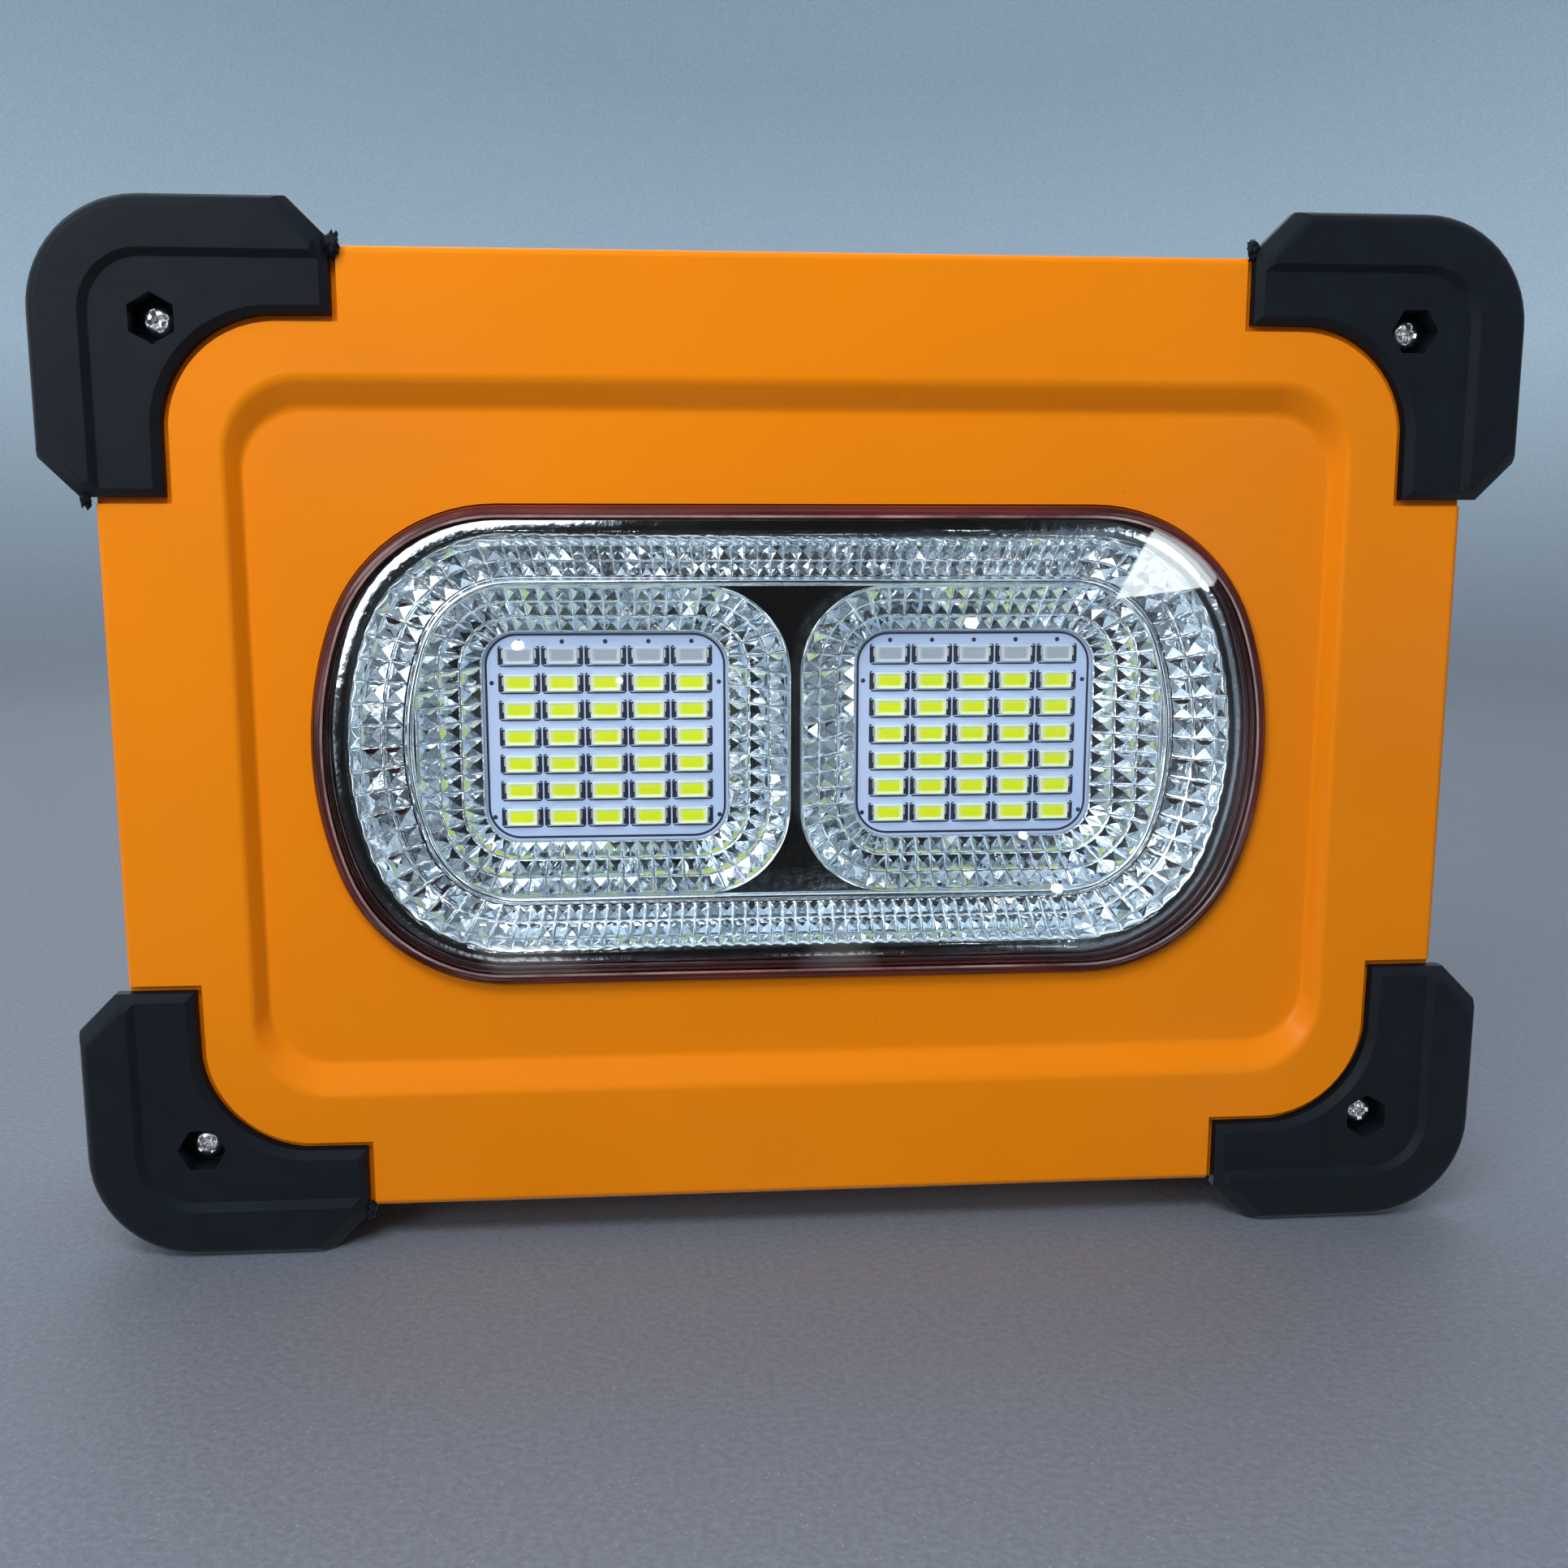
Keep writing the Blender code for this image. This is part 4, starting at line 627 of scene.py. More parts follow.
BUMPER_PROUD = 0.0019
BUMPER_PLANE = FACE_Y - BUMPER_PROUD
RIM_RISE = 0.0012
RIM_WIDTH = 0.008
RIM_SLOPE = 0.0013
SEAT_DEPTH = 0.0032
HEX_R = 0.0065 / sqrt(3)
# Depth below the plane of the plate, and how far in the outline is on its outer and inner side
BUMPER_RINGS = (
    (-RIM_RISE, 0.0019, 0.0024), (0.0002 - RIM_RISE, 0.0012, 0.0021),
    (0.0006 - RIM_RISE, 0.0007, 0.0018), (0.0, 0.0003, 0.0012), (0.0006, 0.0001, 0.0006),
    (0.0012, 0.0, 0.0), (0.0034, 0.0, 0.0), (0.005, 0.0012, 0.0014), (0.006, 0.003, 0.0034),
    (0.0066, 0.0036, 0.004))
SCREW_TURNS = {"tl": 20, "tr": -12, "bl": 38, "br": 8}


def bumper_outline(corner, outer_inset, inner_inset):
    end_x = LEG_X + inner_inset
    end_z = LEG_Z + inner_inset
    far_x = BUMPER_HALF_X - outer_inset
    far_z = BUMPER_HALF_Z - outer_inset
    outer_r = BUMPER_R - outer_inset
    inner_r = INNER_R + inner_inset
    points = [(INNER_CORNER[0] + inner_r, end_z), (far_x - BUMPER_CHAMFER, end_z),
              (far_x, end_z + BUMPER_CHAMFER)]
    points += arc(far_x - outer_r, far_z - outer_r, outer_r, 0, 90, 14)
    points += [(end_x + BUMPER_CHAMFER, far_z), (end_x, far_z - BUMPER_CHAMFER),
               (end_x, INNER_CORNER[1] + inner_r)]
    points += arc(*INNER_CORNER, inner_r, 90, 0, 14)[1:-1]
    return mirrored(points, corner)


def make_bumper(tag, corner):
    """Front and rear L plates joined by a waisted wall around the corner of the case."""
    plane = BUMPER_PLANE
    front = plane - RIM_RISE
    rings = [(plane + y, bumper_outline(corner, outer, inner)) for y, outer, inner in BUMPER_RINGS]
    bumper = loft("bumper_" + tag, rings + [(-y, ring) for y, ring in reversed(rings)])
    plate_y = FACE_Y + POCKET_DEPTH - 0.0003
    spot = screw_spot(corner)
    seat_y = depth(SEAT_DEPTH)
    carve(bumper, [plate("case_space", case_ring(-0.0003), plate_y, -plate_y)])
    carve(bumper, [post("boss", spot, plate_y - 0.001, depth(0.0047), 0.0057)], "UNION")
    step = ((front - 0.001, RIM_WIDTH), (front, RIM_WIDTH), (front + 0.0001, RIM_WIDTH + 0.0002),
            (plane - 0.0001, RIM_WIDTH + RIM_SLOPE - 0.0002), (plane, RIM_WIDTH + RIM_SLOPE))
    tools = [loft("rim_step_" + name, [
        (sign * y, rounded_rect(BUMPER_HALF_X - inset, BUMPER_HALF_Z - inset, BUMPER_R - inset, 14))
        for y, inset in step]) for name, sign in (("front", 1), ("rear", -1))]
    phase = radians(90 if corner[0] * corner[1] < 0 else 0)
    tools.append(post("hex_hole", spot, front - 0.001, seat_y, HEX_R * 1.03, 6, phase))
    tools.append(post("screw_hole", spot, seat_y - 0.001, seat_y + 0.004, 0.002))
    carve(bumper, tools)
    soften(bumper, 0.00022, 2, 34)
    piece(bumper, "bumper_rubber", "bumper_rubber", "corner_bumper_" + tag)


def make_corner_screw(tag, corner):
    """A pan-head cross-recess screw at the bottom of its hexagonal hole."""
    x, z = screw_spot(corner)
    seat = depth(SEAT_DEPTH) - 0.0003
    profile = [(0, 0.002), (0.0009, 0.00198), (0.0016, 0.00185), (0.0021, 0.00155),
               (0.0025, 0.0011), (0.0026, 0.0006), (0.0026, 0.0001), (0.0025, 0),
               (0.0015, 0), (0.0015, -0.035), (0, -0.037)]
    screw = lathe("screw_" + tag, profile, (x, seat, z), (0, -1, 0), 36)
    tools = []
    for spot in (0, 1):
        angle = radians(SCREW_TURNS[tag]) + spot * pi / 2
        rings = [[(x + a * cos(angle) - b * sin(angle), y,
                   height(z + a * sin(angle) + b * cos(angle)))
                  for a, b in ((long, wide), (-long, wide), (-long, -wide), (long, -wide))]
                 for y, long, wide in ((seat - 0.0022, 0.0018, 0.00042),
                                       (seat - 0.0006, 0.0009, 0.00026))]
        tools.append(ring_solid("cross_" + str(spot), rings))
    carve(screw, tools)
    soften(screw, 0.00006, 1)
    piece(screw, "zinc_screw", "zinc", "corner_screw_" + tag)


def make_nubs():
    """Ragged stubs of rubber where the mould gates were cut off the bumpers' legs."""
    dice = random.Random(5)
    shape = bmesh.new()
    end_x = BUMPER_HALF_X - BUMPER_CHAMFER
    end_z = BUMPER_HALF_Z - BUMPER_CHAMFER
    for x, z, size in ((-LEG_X + 0.0006, end_z - 0.0012, 0.0016),
                       (LEG_X - 0.0004, end_z - 0.0002, 0.0013),
                       (-end_x + 0.0008, LEG_Z - 0.0004, 0.0013),
                       (-LEG_X + 0.0004, -end_z + 0.0004, 0.0012)):
        for crumb in range(3):
            at = Vector((x + dice.uniform(-0.25, 0.25) * size,
                         BUMPER_PLANE + 0.0014 + 0.0007 * crumb,
                         height(z + dice.uniform(-0.45, 0.45) * size)))
            made = bmesh.ops.create_icosphere(shape, subdivisions=3, radius=size)
            scale = [dice.uniform(*limits) for limits in ((0.35, 0.7), (0.4, 0.7), (0.6, 1.1))]
            shift = Vector((dice.random() * 50, crumb * 7.0, 0))
            for vert in made["verts"]:
                rough = 1.0 + 0.75 * noise.noise(vert.co / size * 1.9 + shift)
                rough += 0.3 * noise.noise(vert.co / size * 5.0 + shift)
                vert.co = at + vert.co * Vector(scale) * rough
    nubs = mesh_object("gate_stubs", shape)
    nubs.data.shade_smooth()
    piece(nubs, "bumper_rubber", "bumper_rubber")


# ---------------- lens and its edge

LENS_STEPS = (18, 14, 1)
LENS_LOOKS = ("lens_clear", "lens_edge_painted_refraction", "lens_inner_painted_refraction")


def make_lens():
    """Clear cover. Its rounded edge and side wall are painted dark red-brown, with a pink line
    inside: painted refraction of the orange shell seen through the thick edge.
    """
    profile = [(-0.0018, 0.0028), (-0.0018, 0.0044), (0.0, 0.0044), (0.0, 0.0026),
               (-0.00012, 0.0019), (-0.00035, 0.0014), (-0.0007, 0.00105), (-0.0011, 0.0009),
               (-0.0016, 0.00083), (-0.0018, 0.0008), (-0.002, 0.0008)]
    shape = bmesh.new()
    loops = [ring_at(shape, lens_outline(grow, *LENS_STEPS), depth(y)) for grow, y in profile]
    for index, (near, far) in enumerate(zip(loops, loops[1:])):
        for face in join(shape, near, far, True):
            # Painted refraction: the last two strips get the pink line and the rest of the edge the
            # dark red-brown; the flat caps stay clear
            face.material_index = 2 if index >= len(loops) - 3 else 1
    shape.faces.new(loops[0])
    shape.faces.new(loops[-1])
    lens = mesh_object("lens_cover", shape)
    for name in LENS_LOOKS:
        lens.data.materials.append(LOOKS[name])
    lens.data.set_sharp_from_angle(angle=radians(60))
    weigh_normals(lens, True)
    piece(lens, "clear_lens", "lens_clear", "lens")

    gasket = loft("gasket", [(depth(y), lens_outline(grow, *LENS_STEPS)) for grow, y in (
        (-0.0002, 0.0047), (-0.0002, 0.0055), (-0.0017, 0.0055), (-0.0017, 0.0046))], True)
    smooth_below(gasket, 50)
    weigh_normals(gasket, True)
    piece(gasket, "gasket_red", "gasket_red", "lens_gasket")


# ---------------- reflector

WELL_X = 0.0321
WELL_HALF = (0.0313, 0.0263)
WELL_R = 0.015
WELL_FACETS = (16, 24, 16, 24)
WINDOW_HALF = (0.021, 0.0182)
WINDOW_R = 0.006
DECK_DEPTH = 0.01
WINDOW_DEPTH = 0.0178
BAND_OUTER = (0.0734, 0.0341)
BAND_INNER = (0.0653, 0.0277)
BAND_DEPTH = 0.0062
BAND_STEPS = (20, 14, 88)
SKIN = 0.002
RIDGE = 0.16


def band_ring(half, zigzag=0.0):
    """Outline on the band with two points per facet. zigzag draws every second point inwards."""
    points = lens_outline(half[1] - LENS_HALF_Z, *BAND_STEPS, half)
    if not zigzag:
        return points
    inner = lens_outline(half[1] - LENS_HALF_Z, *BAND_STEPS, [side - zigzag for side in half])
    return [inner[i] if i % 2 else points[i] for i in range(len(points))]


def well_ring(sign, share, grow=0.0):
    """Rounded rectangle in a well, two points per facet: share 0 at its top, 1 at the window."""
    half = [side + grow for side in between(WELL_HALF, WINDOW_HALF, share)]
    radius = WELL_R + (WINDOW_R - WELL_R) * share + grow
    spots = [(sign * WELL_X + side_x * (half[0] - radius), LAMP_Z + side_z * (half[1] - radius))
             for side_x, side_z in ((1, 1), (-1, 1), (-1, -1), (1, -1))]
    points = []
    for quarter, spot in enumerate(spots):
        before = spots[quarter - 1]
        turn = radians(90 * quarter)
        out = (radius * cos(turn), radius * sin(turn))
        points += straight((before[0] + out[0], before[1] + out[1]),
                           (spot[0] + out[0], spot[1] + out[1]), WELL_FACETS[quarter])
        points += arc(*spot, radius, 90 * quarter, 90 * quarter + 90, 12)[:-1]
    return points


def add_pits(shape, outer, inner, pit, lean, dice):
    """One sunk pyramid with soft ridges per two ring points. lean is how far in it is deepest."""
    for i in range(0, len(outer), 2):
        after = (i + 2) % len(outer)
        border = (outer[i], outer[i + 1], outer[after], inner[after], inner[i + 1], inner[i])
        tip = border[1].co.lerp(border[4].co, lean)
        tip += (border[2].co - border[0].co) * dice.uniform(-0.06, 0.06)
        tip.y += pit * dice.uniform(0.92, 1.08)
        shoulder = []
        for vert in border:
            spot = vert.co.lerp(tip, RIDGE)
            spot.y -= RIDGE * pit * 0.5
            shoulder.append(shape.verts.new(spot))
        bottom = shape.verts.new(tip)
        for k in range(6):
            shape.faces.new((border[k - 1], border[k], shoulder[k], shoulder[k - 1])).smooth = True
            shape.faces.new((shoulder[k - 1], shoulder[k], bottom))


def fill_between(shape, loops):
    edges = [shape.edges.get((loop[i - 1], loop[i])) for loop in loops for i in range(len(loop))]
    bmesh.ops.triangle_fill(shape, use_beauty=True, use_dissolve=False, edges=edges)


def make_reflector():
    dice = random.Random(11)
    shape = bmesh.new()

    def ring(outline, y):
        return ring_at(shape, outline, depth(y))

    # Lip: from under the gasket down to the band
    rim = (LENS_HALF_X - 0.0018, LENS_HALF_Z - 0.0018)
    lip = [ring(band_ring(between(rim, BAND_OUTER, share)), y) for share, y in (
        (0.0, 0.0055), (0.02, 0.005), (0.06, 0.00483), (0.2, 0.0048), (0.6, 0.0048),
        (0.96, 0.00485))]
    lip.append(ring(band_ring(BAND_OUTER, 0.0011), 0.0051))
    for near, far in zip(lip, lip[1:]):
        join(shape, near, far, True)
    # Band: one cut-off row and two full rows of sunk pyramids
    last = lip[-1]
    for share, pit, lean in ((0.18, 0.0006, 0.1), (0.59, 0.0012, 0.38), (1.0, 0.0012, 0.38)):
        inner = ring(band_ring(between(BAND_OUTER, BAND_INNER, share)),
                     BAND_DEPTH + (DECK_DEPTH - BAND_DEPTH) * share)
        add_pits(shape, last, inner, pit, lean, dice)
        last = inner
    # Bead and deck around the wells
    for angle in range(0, 181, 30):
        turn = radians(angle)
        inset = 0.00015 + 0.0007 * (1 - cos(turn))
        inner = ring(band_ring([side - inset for side in BAND_INNER]),
                     DECK_DEPTH - 0.00065 * sin(turn))
        join(shape, last, inner, True)
        last = inner
    decks = [last]
    feet = []
    for sign in (-1, 1):
        decks.append(ring(well_ring(sign, 0.0), DECK_DEPTH))
        last = ring(well_ring(sign, 0.04), DECK_DEPTH + 0.0002)
        join(shape, decks[-1], last, True)
        for share, pit, lean in ((0.34, 0.0012, 0.36), (0.67, 0.0012, 0.38), (1.0, 0.001, 0.42)):
            inner = ring(well_ring(sign, share),
                         DECK_DEPTH + (WINDOW_DEPTH - DECK_DEPTH) * share ** 0.9)
            add_pits(shape, last, inner, pit, lean, dice)
            last = inner
        feet.append(ring(well_ring(sign, 1.0), WINDOW_DEPTH + 0.0006))
        join(shape, last, feet[-1], True)
    fill_between(shape, decks)
    # Back skin
    back = lip[0]
    for half, y in ((rim, 0.0056), (BAND_OUTER, BAND_DEPTH + SKIN),
                    (BAND_INNER, DECK_DEPTH + SKIN)):
        inner = ring(band_ring(half), y)
        join(shape, back, inner, True)
        back = inner
    decks = [back]
    for sign, foot in zip((-1, 1), feet):
        decks.append(ring(well_ring(sign, 0.0, 0.0006), DECK_DEPTH + SKIN))
        last = ring(well_ring(sign, 1.0, 0.0014), WINDOW_DEPTH + 0.0006)
        join(shape, decks[-1], last, True)
        join(shape, last, foot, True)
    fill_between(shape, decks)
    piece(mesh_object("reflector_plated", shape), "plated_reflector", "chrome", "reflector")


# ---------------- LED boards

LED_TOP = 0.018
LED_FACE = 0.0189
PITCH_X = 0.0074
PITCH_Z = 0.00468
COLUMNS = 5
ROWS = 7
INK_HALF = 0.00012
MARK_X = 0.00345
MARK_Z = -0.0018
# (half width, half height), depth, how far in the window, from the foot of the package up
LED_RINGS = (
    ((0.00262, 0.00142), LED_FACE, 0.0), ((0.00258, 0.0014), LED_TOP + 0.0001, 0.0),
    ((0.0025, 0.00132), LED_TOP, 0.0), ((0.00228, 0.00116), LED_TOP + 0.00002, 0.14),
    ((0.00208, 0.001), LED_TOP + 0.00014, 0.34), ((0.00186, 0.00086), LED_TOP + 0.00017, 0.58),
    ((0.0016, 0.0007), LED_TOP + 0.00018, 0.86), ((0.0012, 0.00046), LED_TOP + 0.00017, 1.0))


def add_led(shape, layer, x, z):
    """One package: white body, a shallow cup, and a filled window in it."""
    loops = []
    for half, y, value in LED_RINGS:
        loops.append(ring_at(shape, rounded_rect(*half, 0.0003, 3, x, z), depth(y)))
        for vert in loops[-1]:
            vert[layer] = value
    skin(shape, loops)


def add_marks(ink, legs, x, z, y_ink, y_legs):
    """The printed frame around one LED, and its two terminals."""
    for dx, dz, half_x, half_z in (
            (-MARK_X, -0.00005, INK_HALF, 0.0015), (MARK_X, -0.00005, INK_HALF, 0.0015),
            (0.0, MARK_Z, 0.0031, INK_HALF), (0.00325, 0.00155, 0.0002, INK_HALF),
            (-0.00325, 0.00155, 0.0002, INK_HALF)):
        add_prism(ink, rect(x + dx, z + dz, half_x, half_z), *y_ink)
    for end in (-1, 1):
        add_prism(ink, [(x + end * MARK_X - INK_HALF, z - 0.0015),
                        (x + end * MARK_X + INK_HALF, z - 0.0015),
                        (x + end * 0.0031 + INK_HALF * end, z + MARK_Z - INK_HALF),
                        (x + end * 0.0031 - INK_HALF * end, z + MARK_Z + INK_HALF)], *y_ink)
        add_prism(ink, rect(x + end * 0.00306, z - 0.0001, 0.00034, 0.0014), *y_ink)
        add_prism(legs, rect(x + end * 0.00278, z + 0.0003, 0.00014, 0.0007), *y_legs)


def make_led_board(side, sign):
    middle = sign * WELL_X
    board = plate("led_panel_" + side, rounded_rect(0.024, 0.0212, 0.002, 6, middle, LAMP_Z),
                  depth(LED_FACE), depth(LED_FACE + 0.0016))
    soften(board, 0.00015, 1)
    piece(board, "led_board_white", "board_white", "led_board_" + side)

    ink, legs = bmesh.new(), bmesh.new()
    y_ink = (depth(LED_FACE - 0.00003), depth(LED_FACE + 0.0001))
    y_legs = (depth(LED_FACE - 0.0004), depth(LED_FACE + 0.0001))
    lamps = {"yellow": bmesh.new(), "clear": bmesh.new()}
    glow = {kind: shape.verts.layers.float.new("glow") for kind, shape in lamps.items()}
    columns = [middle + (column - (COLUMNS - 1) / 2) * PITCH_X for column in range(COLUMNS)]
    rows = [LAMP_Z + (row - (ROWS - 1) / 2) * PITCH_Z for row in range(ROWS)]
    for z in rows:
        kind = "clear" if z == rows[-1] else "yellow"
        for x in columns:
            add_marks(ink, legs, x, z, y_ink, y_legs)
            add_led(lamps[kind], glow[kind], x, z)
    # A dark ring around the window: painted shade of the gap under the reflector's foot, drawn with
    # the ink
    outer, inner = [rounded_rect(0.02065 - inset, 0.01785 - inset, 0.0056 - inset, 10, middle,
                                 LAMP_Z) for inset in (0.0, 0.0004)]
    skin(ink, [ring_at(ink, outline, y) for outline, y in (
        (outer, y_ink[0]), (outer, y_ink[1]), (inner, y_ink[1]), (inner, y_ink[0]))], True)
    dots = [(middle + end * (PITCH_X * 2 + 0.0047), rows[row]) for row in (0, ROWS - 2)
            for end in (-1, 1)]
    dots += [(x, LAMP_Z + (ROWS - 1) / 2 * PITCH_Z + 0.0024) for x in columns]
    for x, z in dots:
        add_prism(ink, rounded_rect(0.0004, 0.0004, 0.00039, 3, x, z), *y_ink)
    piece(mesh_object("board_marks_" + side, ink), "led_board_white", "board_ink_and_gap_shade")
    piece(mesh_object("led_legs_" + side, legs), "zinc_screw", "nickel")
    for kind, shape in lamps.items():
        lamp = mesh_object("leds_{}_{}".format(kind, side), shape)
        smooth_below(lamp, 30)
        piece(lamp, "led_board_white", "led_" + kind)


# ---------------- side wall pieces

BEAD_R = 0.00095
MARK_SINK = 0.00045
# node, half length and half thickness of the tongue, number of contacts
SOCKETS = (("usb_a_socket", 0.0054, 0.00085, 4), ("usb_c_socket", 0.0032, 0.00032, 6))


def make_port_cover():
    """Rubber flap with a raised border, grip ribs and a pull tab, on a round hinge bead."""
    face_x = COVER_HIGH.x - 0.0001
    inner_x = face_x - 0.0018
    hinge_y = COVER_HIGH.y - BEAD_R
    front_y = COVER_LOW.y + 0.002
    low, high = COVER_LOW.z - MID_Z, COVER_HIGH.z - MID_Z
    middle_z = (low + high) / 2
    rings = []
    for x, inset, corner in ((inner_x, 0.0, 0.0009), (face_x - 0.0003, 0.0, 0.0009),
                             (face_x - 0.0001, 0.0001, 0.0008), (face_x, 0.0003, 0.0006),
                             (face_x, 0.0009, 0.0006), (face_x - 0.0003, 0.0013, 0.0005)):
        outline = rounded_rect((hinge_y - front_y) / 2 - inset, (high - low) / 2 - inset, corner, 5,
                               (hinge_y + front_y) / 2, middle_z)
        rings.append([(x, y, height(z)) for y, z in outline])
    flap = ring_solid("port_flap", rings)
    tools = []
    for spot in range(-3, 4):
        z = middle_z + spot * 0.0016
        tools.append(rod("rib", (face_x - 0.0004, front_y + 0.0012, z),
                         (face_x - 0.0004, front_y + 0.0042, z), 0.00038, 12))
    bead_x = (face_x + inner_x) / 2
    tools.append(rod("bead", (bead_x, hinge_y, low), (bead_x, hinge_y, high), BEAD_R, 24))
    tools.append(box("tab", (inner_x + 0.0012, face_x - 0.0001), (COVER_LOW.y, front_y + 0.001),
                     (middle_z - 0.005, middle_z + 0.005)))
    carve(flap, tools, "UNION")
    soften(flap, 0.00012, 2, 50)
    piece(flap, "bumper_rubber", "button_rubber", "port_cover", body="port_cover")


def make_power_button():
    """Domed rubber cap with a sunk power mark and a flange behind the wall."""
    face = BUTTON_HIGH.x
    base = BUTTON_LOW.x
    y, z = middle_of(BUTTON_LOW, BUTTON_HIGH)
    wide = (BUTTON_HIGH.y - BUTTON_LOW.y) / 2
    cap = wide - 0.0012
    length = face - base
    flange = CASE_HALF_X - CASE_WALL - 0.0003 - base
    profile = [(0, length - 0.0001), (0.002, length - 0.00012), (0.0036, length - 0.0002),
               (0.0043, length), (0.0049, length - 0.00005), (cap - 0.0003, length - 0.0005),
               (cap, length - 0.001), (cap, flange), (wide - 0.0002, flange),
               (wide, flange - 0.0002), (wide, flange - 0.001), (wide - 0.0002, flange - 0.0012),
               (0.002, flange - 0.0012), (0.002, 0.0003), (0.0017, 0.0), (0, 0)]
    button = lathe("power_cap", profile, (base, y, z), (1, 0, 0), 48)
    bottom, top = face - MARK_SINK, face + 0.001
    rings = []
    for radius, x in ((0.00235, top), (0.00235, bottom), (0.00185, bottom), (0.00185, top)):
        outline = arc(y, z, radius, 0, 360, 36)[:-1]
        rings.append([(x, at_y, height(at_z)) for at_y, at_z in outline])
    mark = ring_solid("mark_ring", rings, True)
    carve(mark, [box("mark_gap", (face - 0.002, face + 0.002), (y - 0.0009, y + 0.0009),
                     (z + 0.0012, z + 0.004))])
    bar = box("mark_bar", (bottom, top), (y - 0.00024, y + 0.00024), (z + 0.0009, z + 0.0029))
    carve(button, [mark, bar])
    soften(button, 0.00008, 1, 45)
    piece(button, "button_rubber", "button_rubber", "power_button", body="power_button")


def make_socket_insides():
    """Insulated tongues with contacts in the two sockets."""
    for node, half_z, half_y, pins in SOCKETS:
        y, z = middle_of(*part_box(node))
        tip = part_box(node)[1].x - 0.0011
        thick, wide = half_y + 0.0002, half_z + 0.0002
        tongue = box(node + "_tongue", (tip - 0.005, tip + 0.0004), (y - thick, y + thick),
                     (z - wide, z + wide))
        soften(tongue, 0.0001)
        piece(tongue, "black_plastic", "black_plastic")
        shape = bmesh.new()
        for pin in range(pins):
            spot = z + (pin - (pins - 1) / 2) * (half_z * 1.7 / pins)
            add_prism(shape, rect(tip - 0.00195, spot, 0.00205, half_z * 0.55 / pins),
                      y - half_y - 0.00028, y + half_y + 0.00028)
        piece(mesh_object(node + "_contacts", shape), "nickel_strip", "nickel")


# ---------------- back of the lamp

SOLAR_MID_Z = middle_of(PANEL_LOW, PANEL_HIGH)[1]
SOLAR_HALF_X = PANEL_HIGH.x
SOLAR_HALF_Z = (PANEL_HIGH.z - PANEL_LOW.z) / 2
SOLAR_COLUMNS = 6
SOLAR_ROWS = 2
SOLAR_MARGIN = 0.0026
SOLAR_GAP = 0.001
CELL_CUT = 0.0012
FINGERS = 16


def solar_outline(inset=0.0):
    return rounded_rect(SOLAR_HALF_X - inset, SOLAR_HALF_Z - inset, 0.002 - inset / 2, 6, 0,
                        SOLAR_MID_Z)


def add_cell(cells, silver, x, z, half_x, half_z, level):
    """One cut-cornered slice of silicon with two bus bars and its fingers."""
    cut_x, cut_z = half_x - CELL_CUT, half_z - CELL_CUT
    add_prism(cells, [(x + half_x, z - half_z + CELL_CUT), (x + half_x, z + half_z - CELL_CUT),
                      (x + cut_x, z + half_z), (x - cut_x, z + half_z),
                      (x - half_x, z + cut_z), (x - half_x, z - cut_z),
                      (x - cut_x, z - half_z), (x + cut_x, z - half_z)],
              level - 0.00002, level + 0.00012)
    for bus in (-0.5, 0.5):
        add_prism(silver, rect(x + bus * half_x, z, 0.00045, half_z - 0.0004), level,
                  level + 0.00017)
    for finger in range(FINGERS):
        spot = z + (finger - (FINGERS - 1) / 2) * (2 * half_z - 0.002) / (FINGERS - 1)
        add_prism(silver, rect(x, spot, half_x - 0.0008, 0.00004), level, level + 0.00014)


def make_solar_panel():
    """Black backing plate, strips of silicon with silver fingers, all under clear resin."""
    face = PANEL_HIGH.y
    level = face - 0.0004
    base = plate("solar_backing", solar_outline(), PANEL_LOW.y, level)
    soften(base, 0.0002)
    piece(base, "solar_cell", "cell_backing", "solar_panel")
    cells, silver = bmesh.new(), bmesh.new()
    wide = (2 * SOLAR_HALF_X - 2 * SOLAR_MARGIN + SOLAR_GAP) / SOLAR_COLUMNS
    tall = (2 * SOLAR_HALF_Z - 2 * SOLAR_MARGIN + SOLAR_GAP) / SOLAR_ROWS
    for column in range(SOLAR_COLUMNS):
        for row in range(SOLAR_ROWS):
            add_cell(cells, silver,
                     -SOLAR_HALF_X + SOLAR_MARGIN + (column + 0.5) * wide - SOLAR_GAP / 2,
                     SOLAR_MID_Z - SOLAR_HALF_Z + SOLAR_MARGIN + (row + 0.5) * tall - SOLAR_GAP / 2,
                     (wide - SOLAR_GAP) / 2, (tall - SOLAR_GAP) / 2, level)
    for row in (-1, 1):
        for column in range(SOLAR_COLUMNS - 1):
            x = -SOLAR_HALF_X + SOLAR_MARGIN + (column + 1) * wide - SOLAR_GAP / 2
            z = SOLAR_MID_Z + row * (SOLAR_HALF_Z - SOLAR_MARGIN - 0.003)
            add_prism(silver, rect(x, z, 0.0022, 0.0004), level, level + 0.00018)
    piece(mesh_object("solar_cells", cells), "solar_cell", "solar_cell")
    piece(mesh_object("solar_fingers", silver), "nickel_strip", "cell_silver")
    resin = loft("solar_resin", [(level + 0.00001, solar_outline()),
                                 (face - 0.00012, solar_outline()), (face, solar_outline(0.0004))])
    smooth_below(resin, 30)
    piece(resin, "clear_lens", "panel_resin")


STAND_R = 0.0025
STAND_HINGE_Z = 0.05
STAND_PIN_X = 0.0534
STAND_PIN_BEND = 0.005
STAND_FOOT_BEND = 0.009
STAND_SIDES = 24
# Distance along the rod and radius at a rounded end
STAND_END = ((0.0, STAND_R - 0.0006), (0.0002, STAND_R - 0.0002), (0.0006, STAND_R))


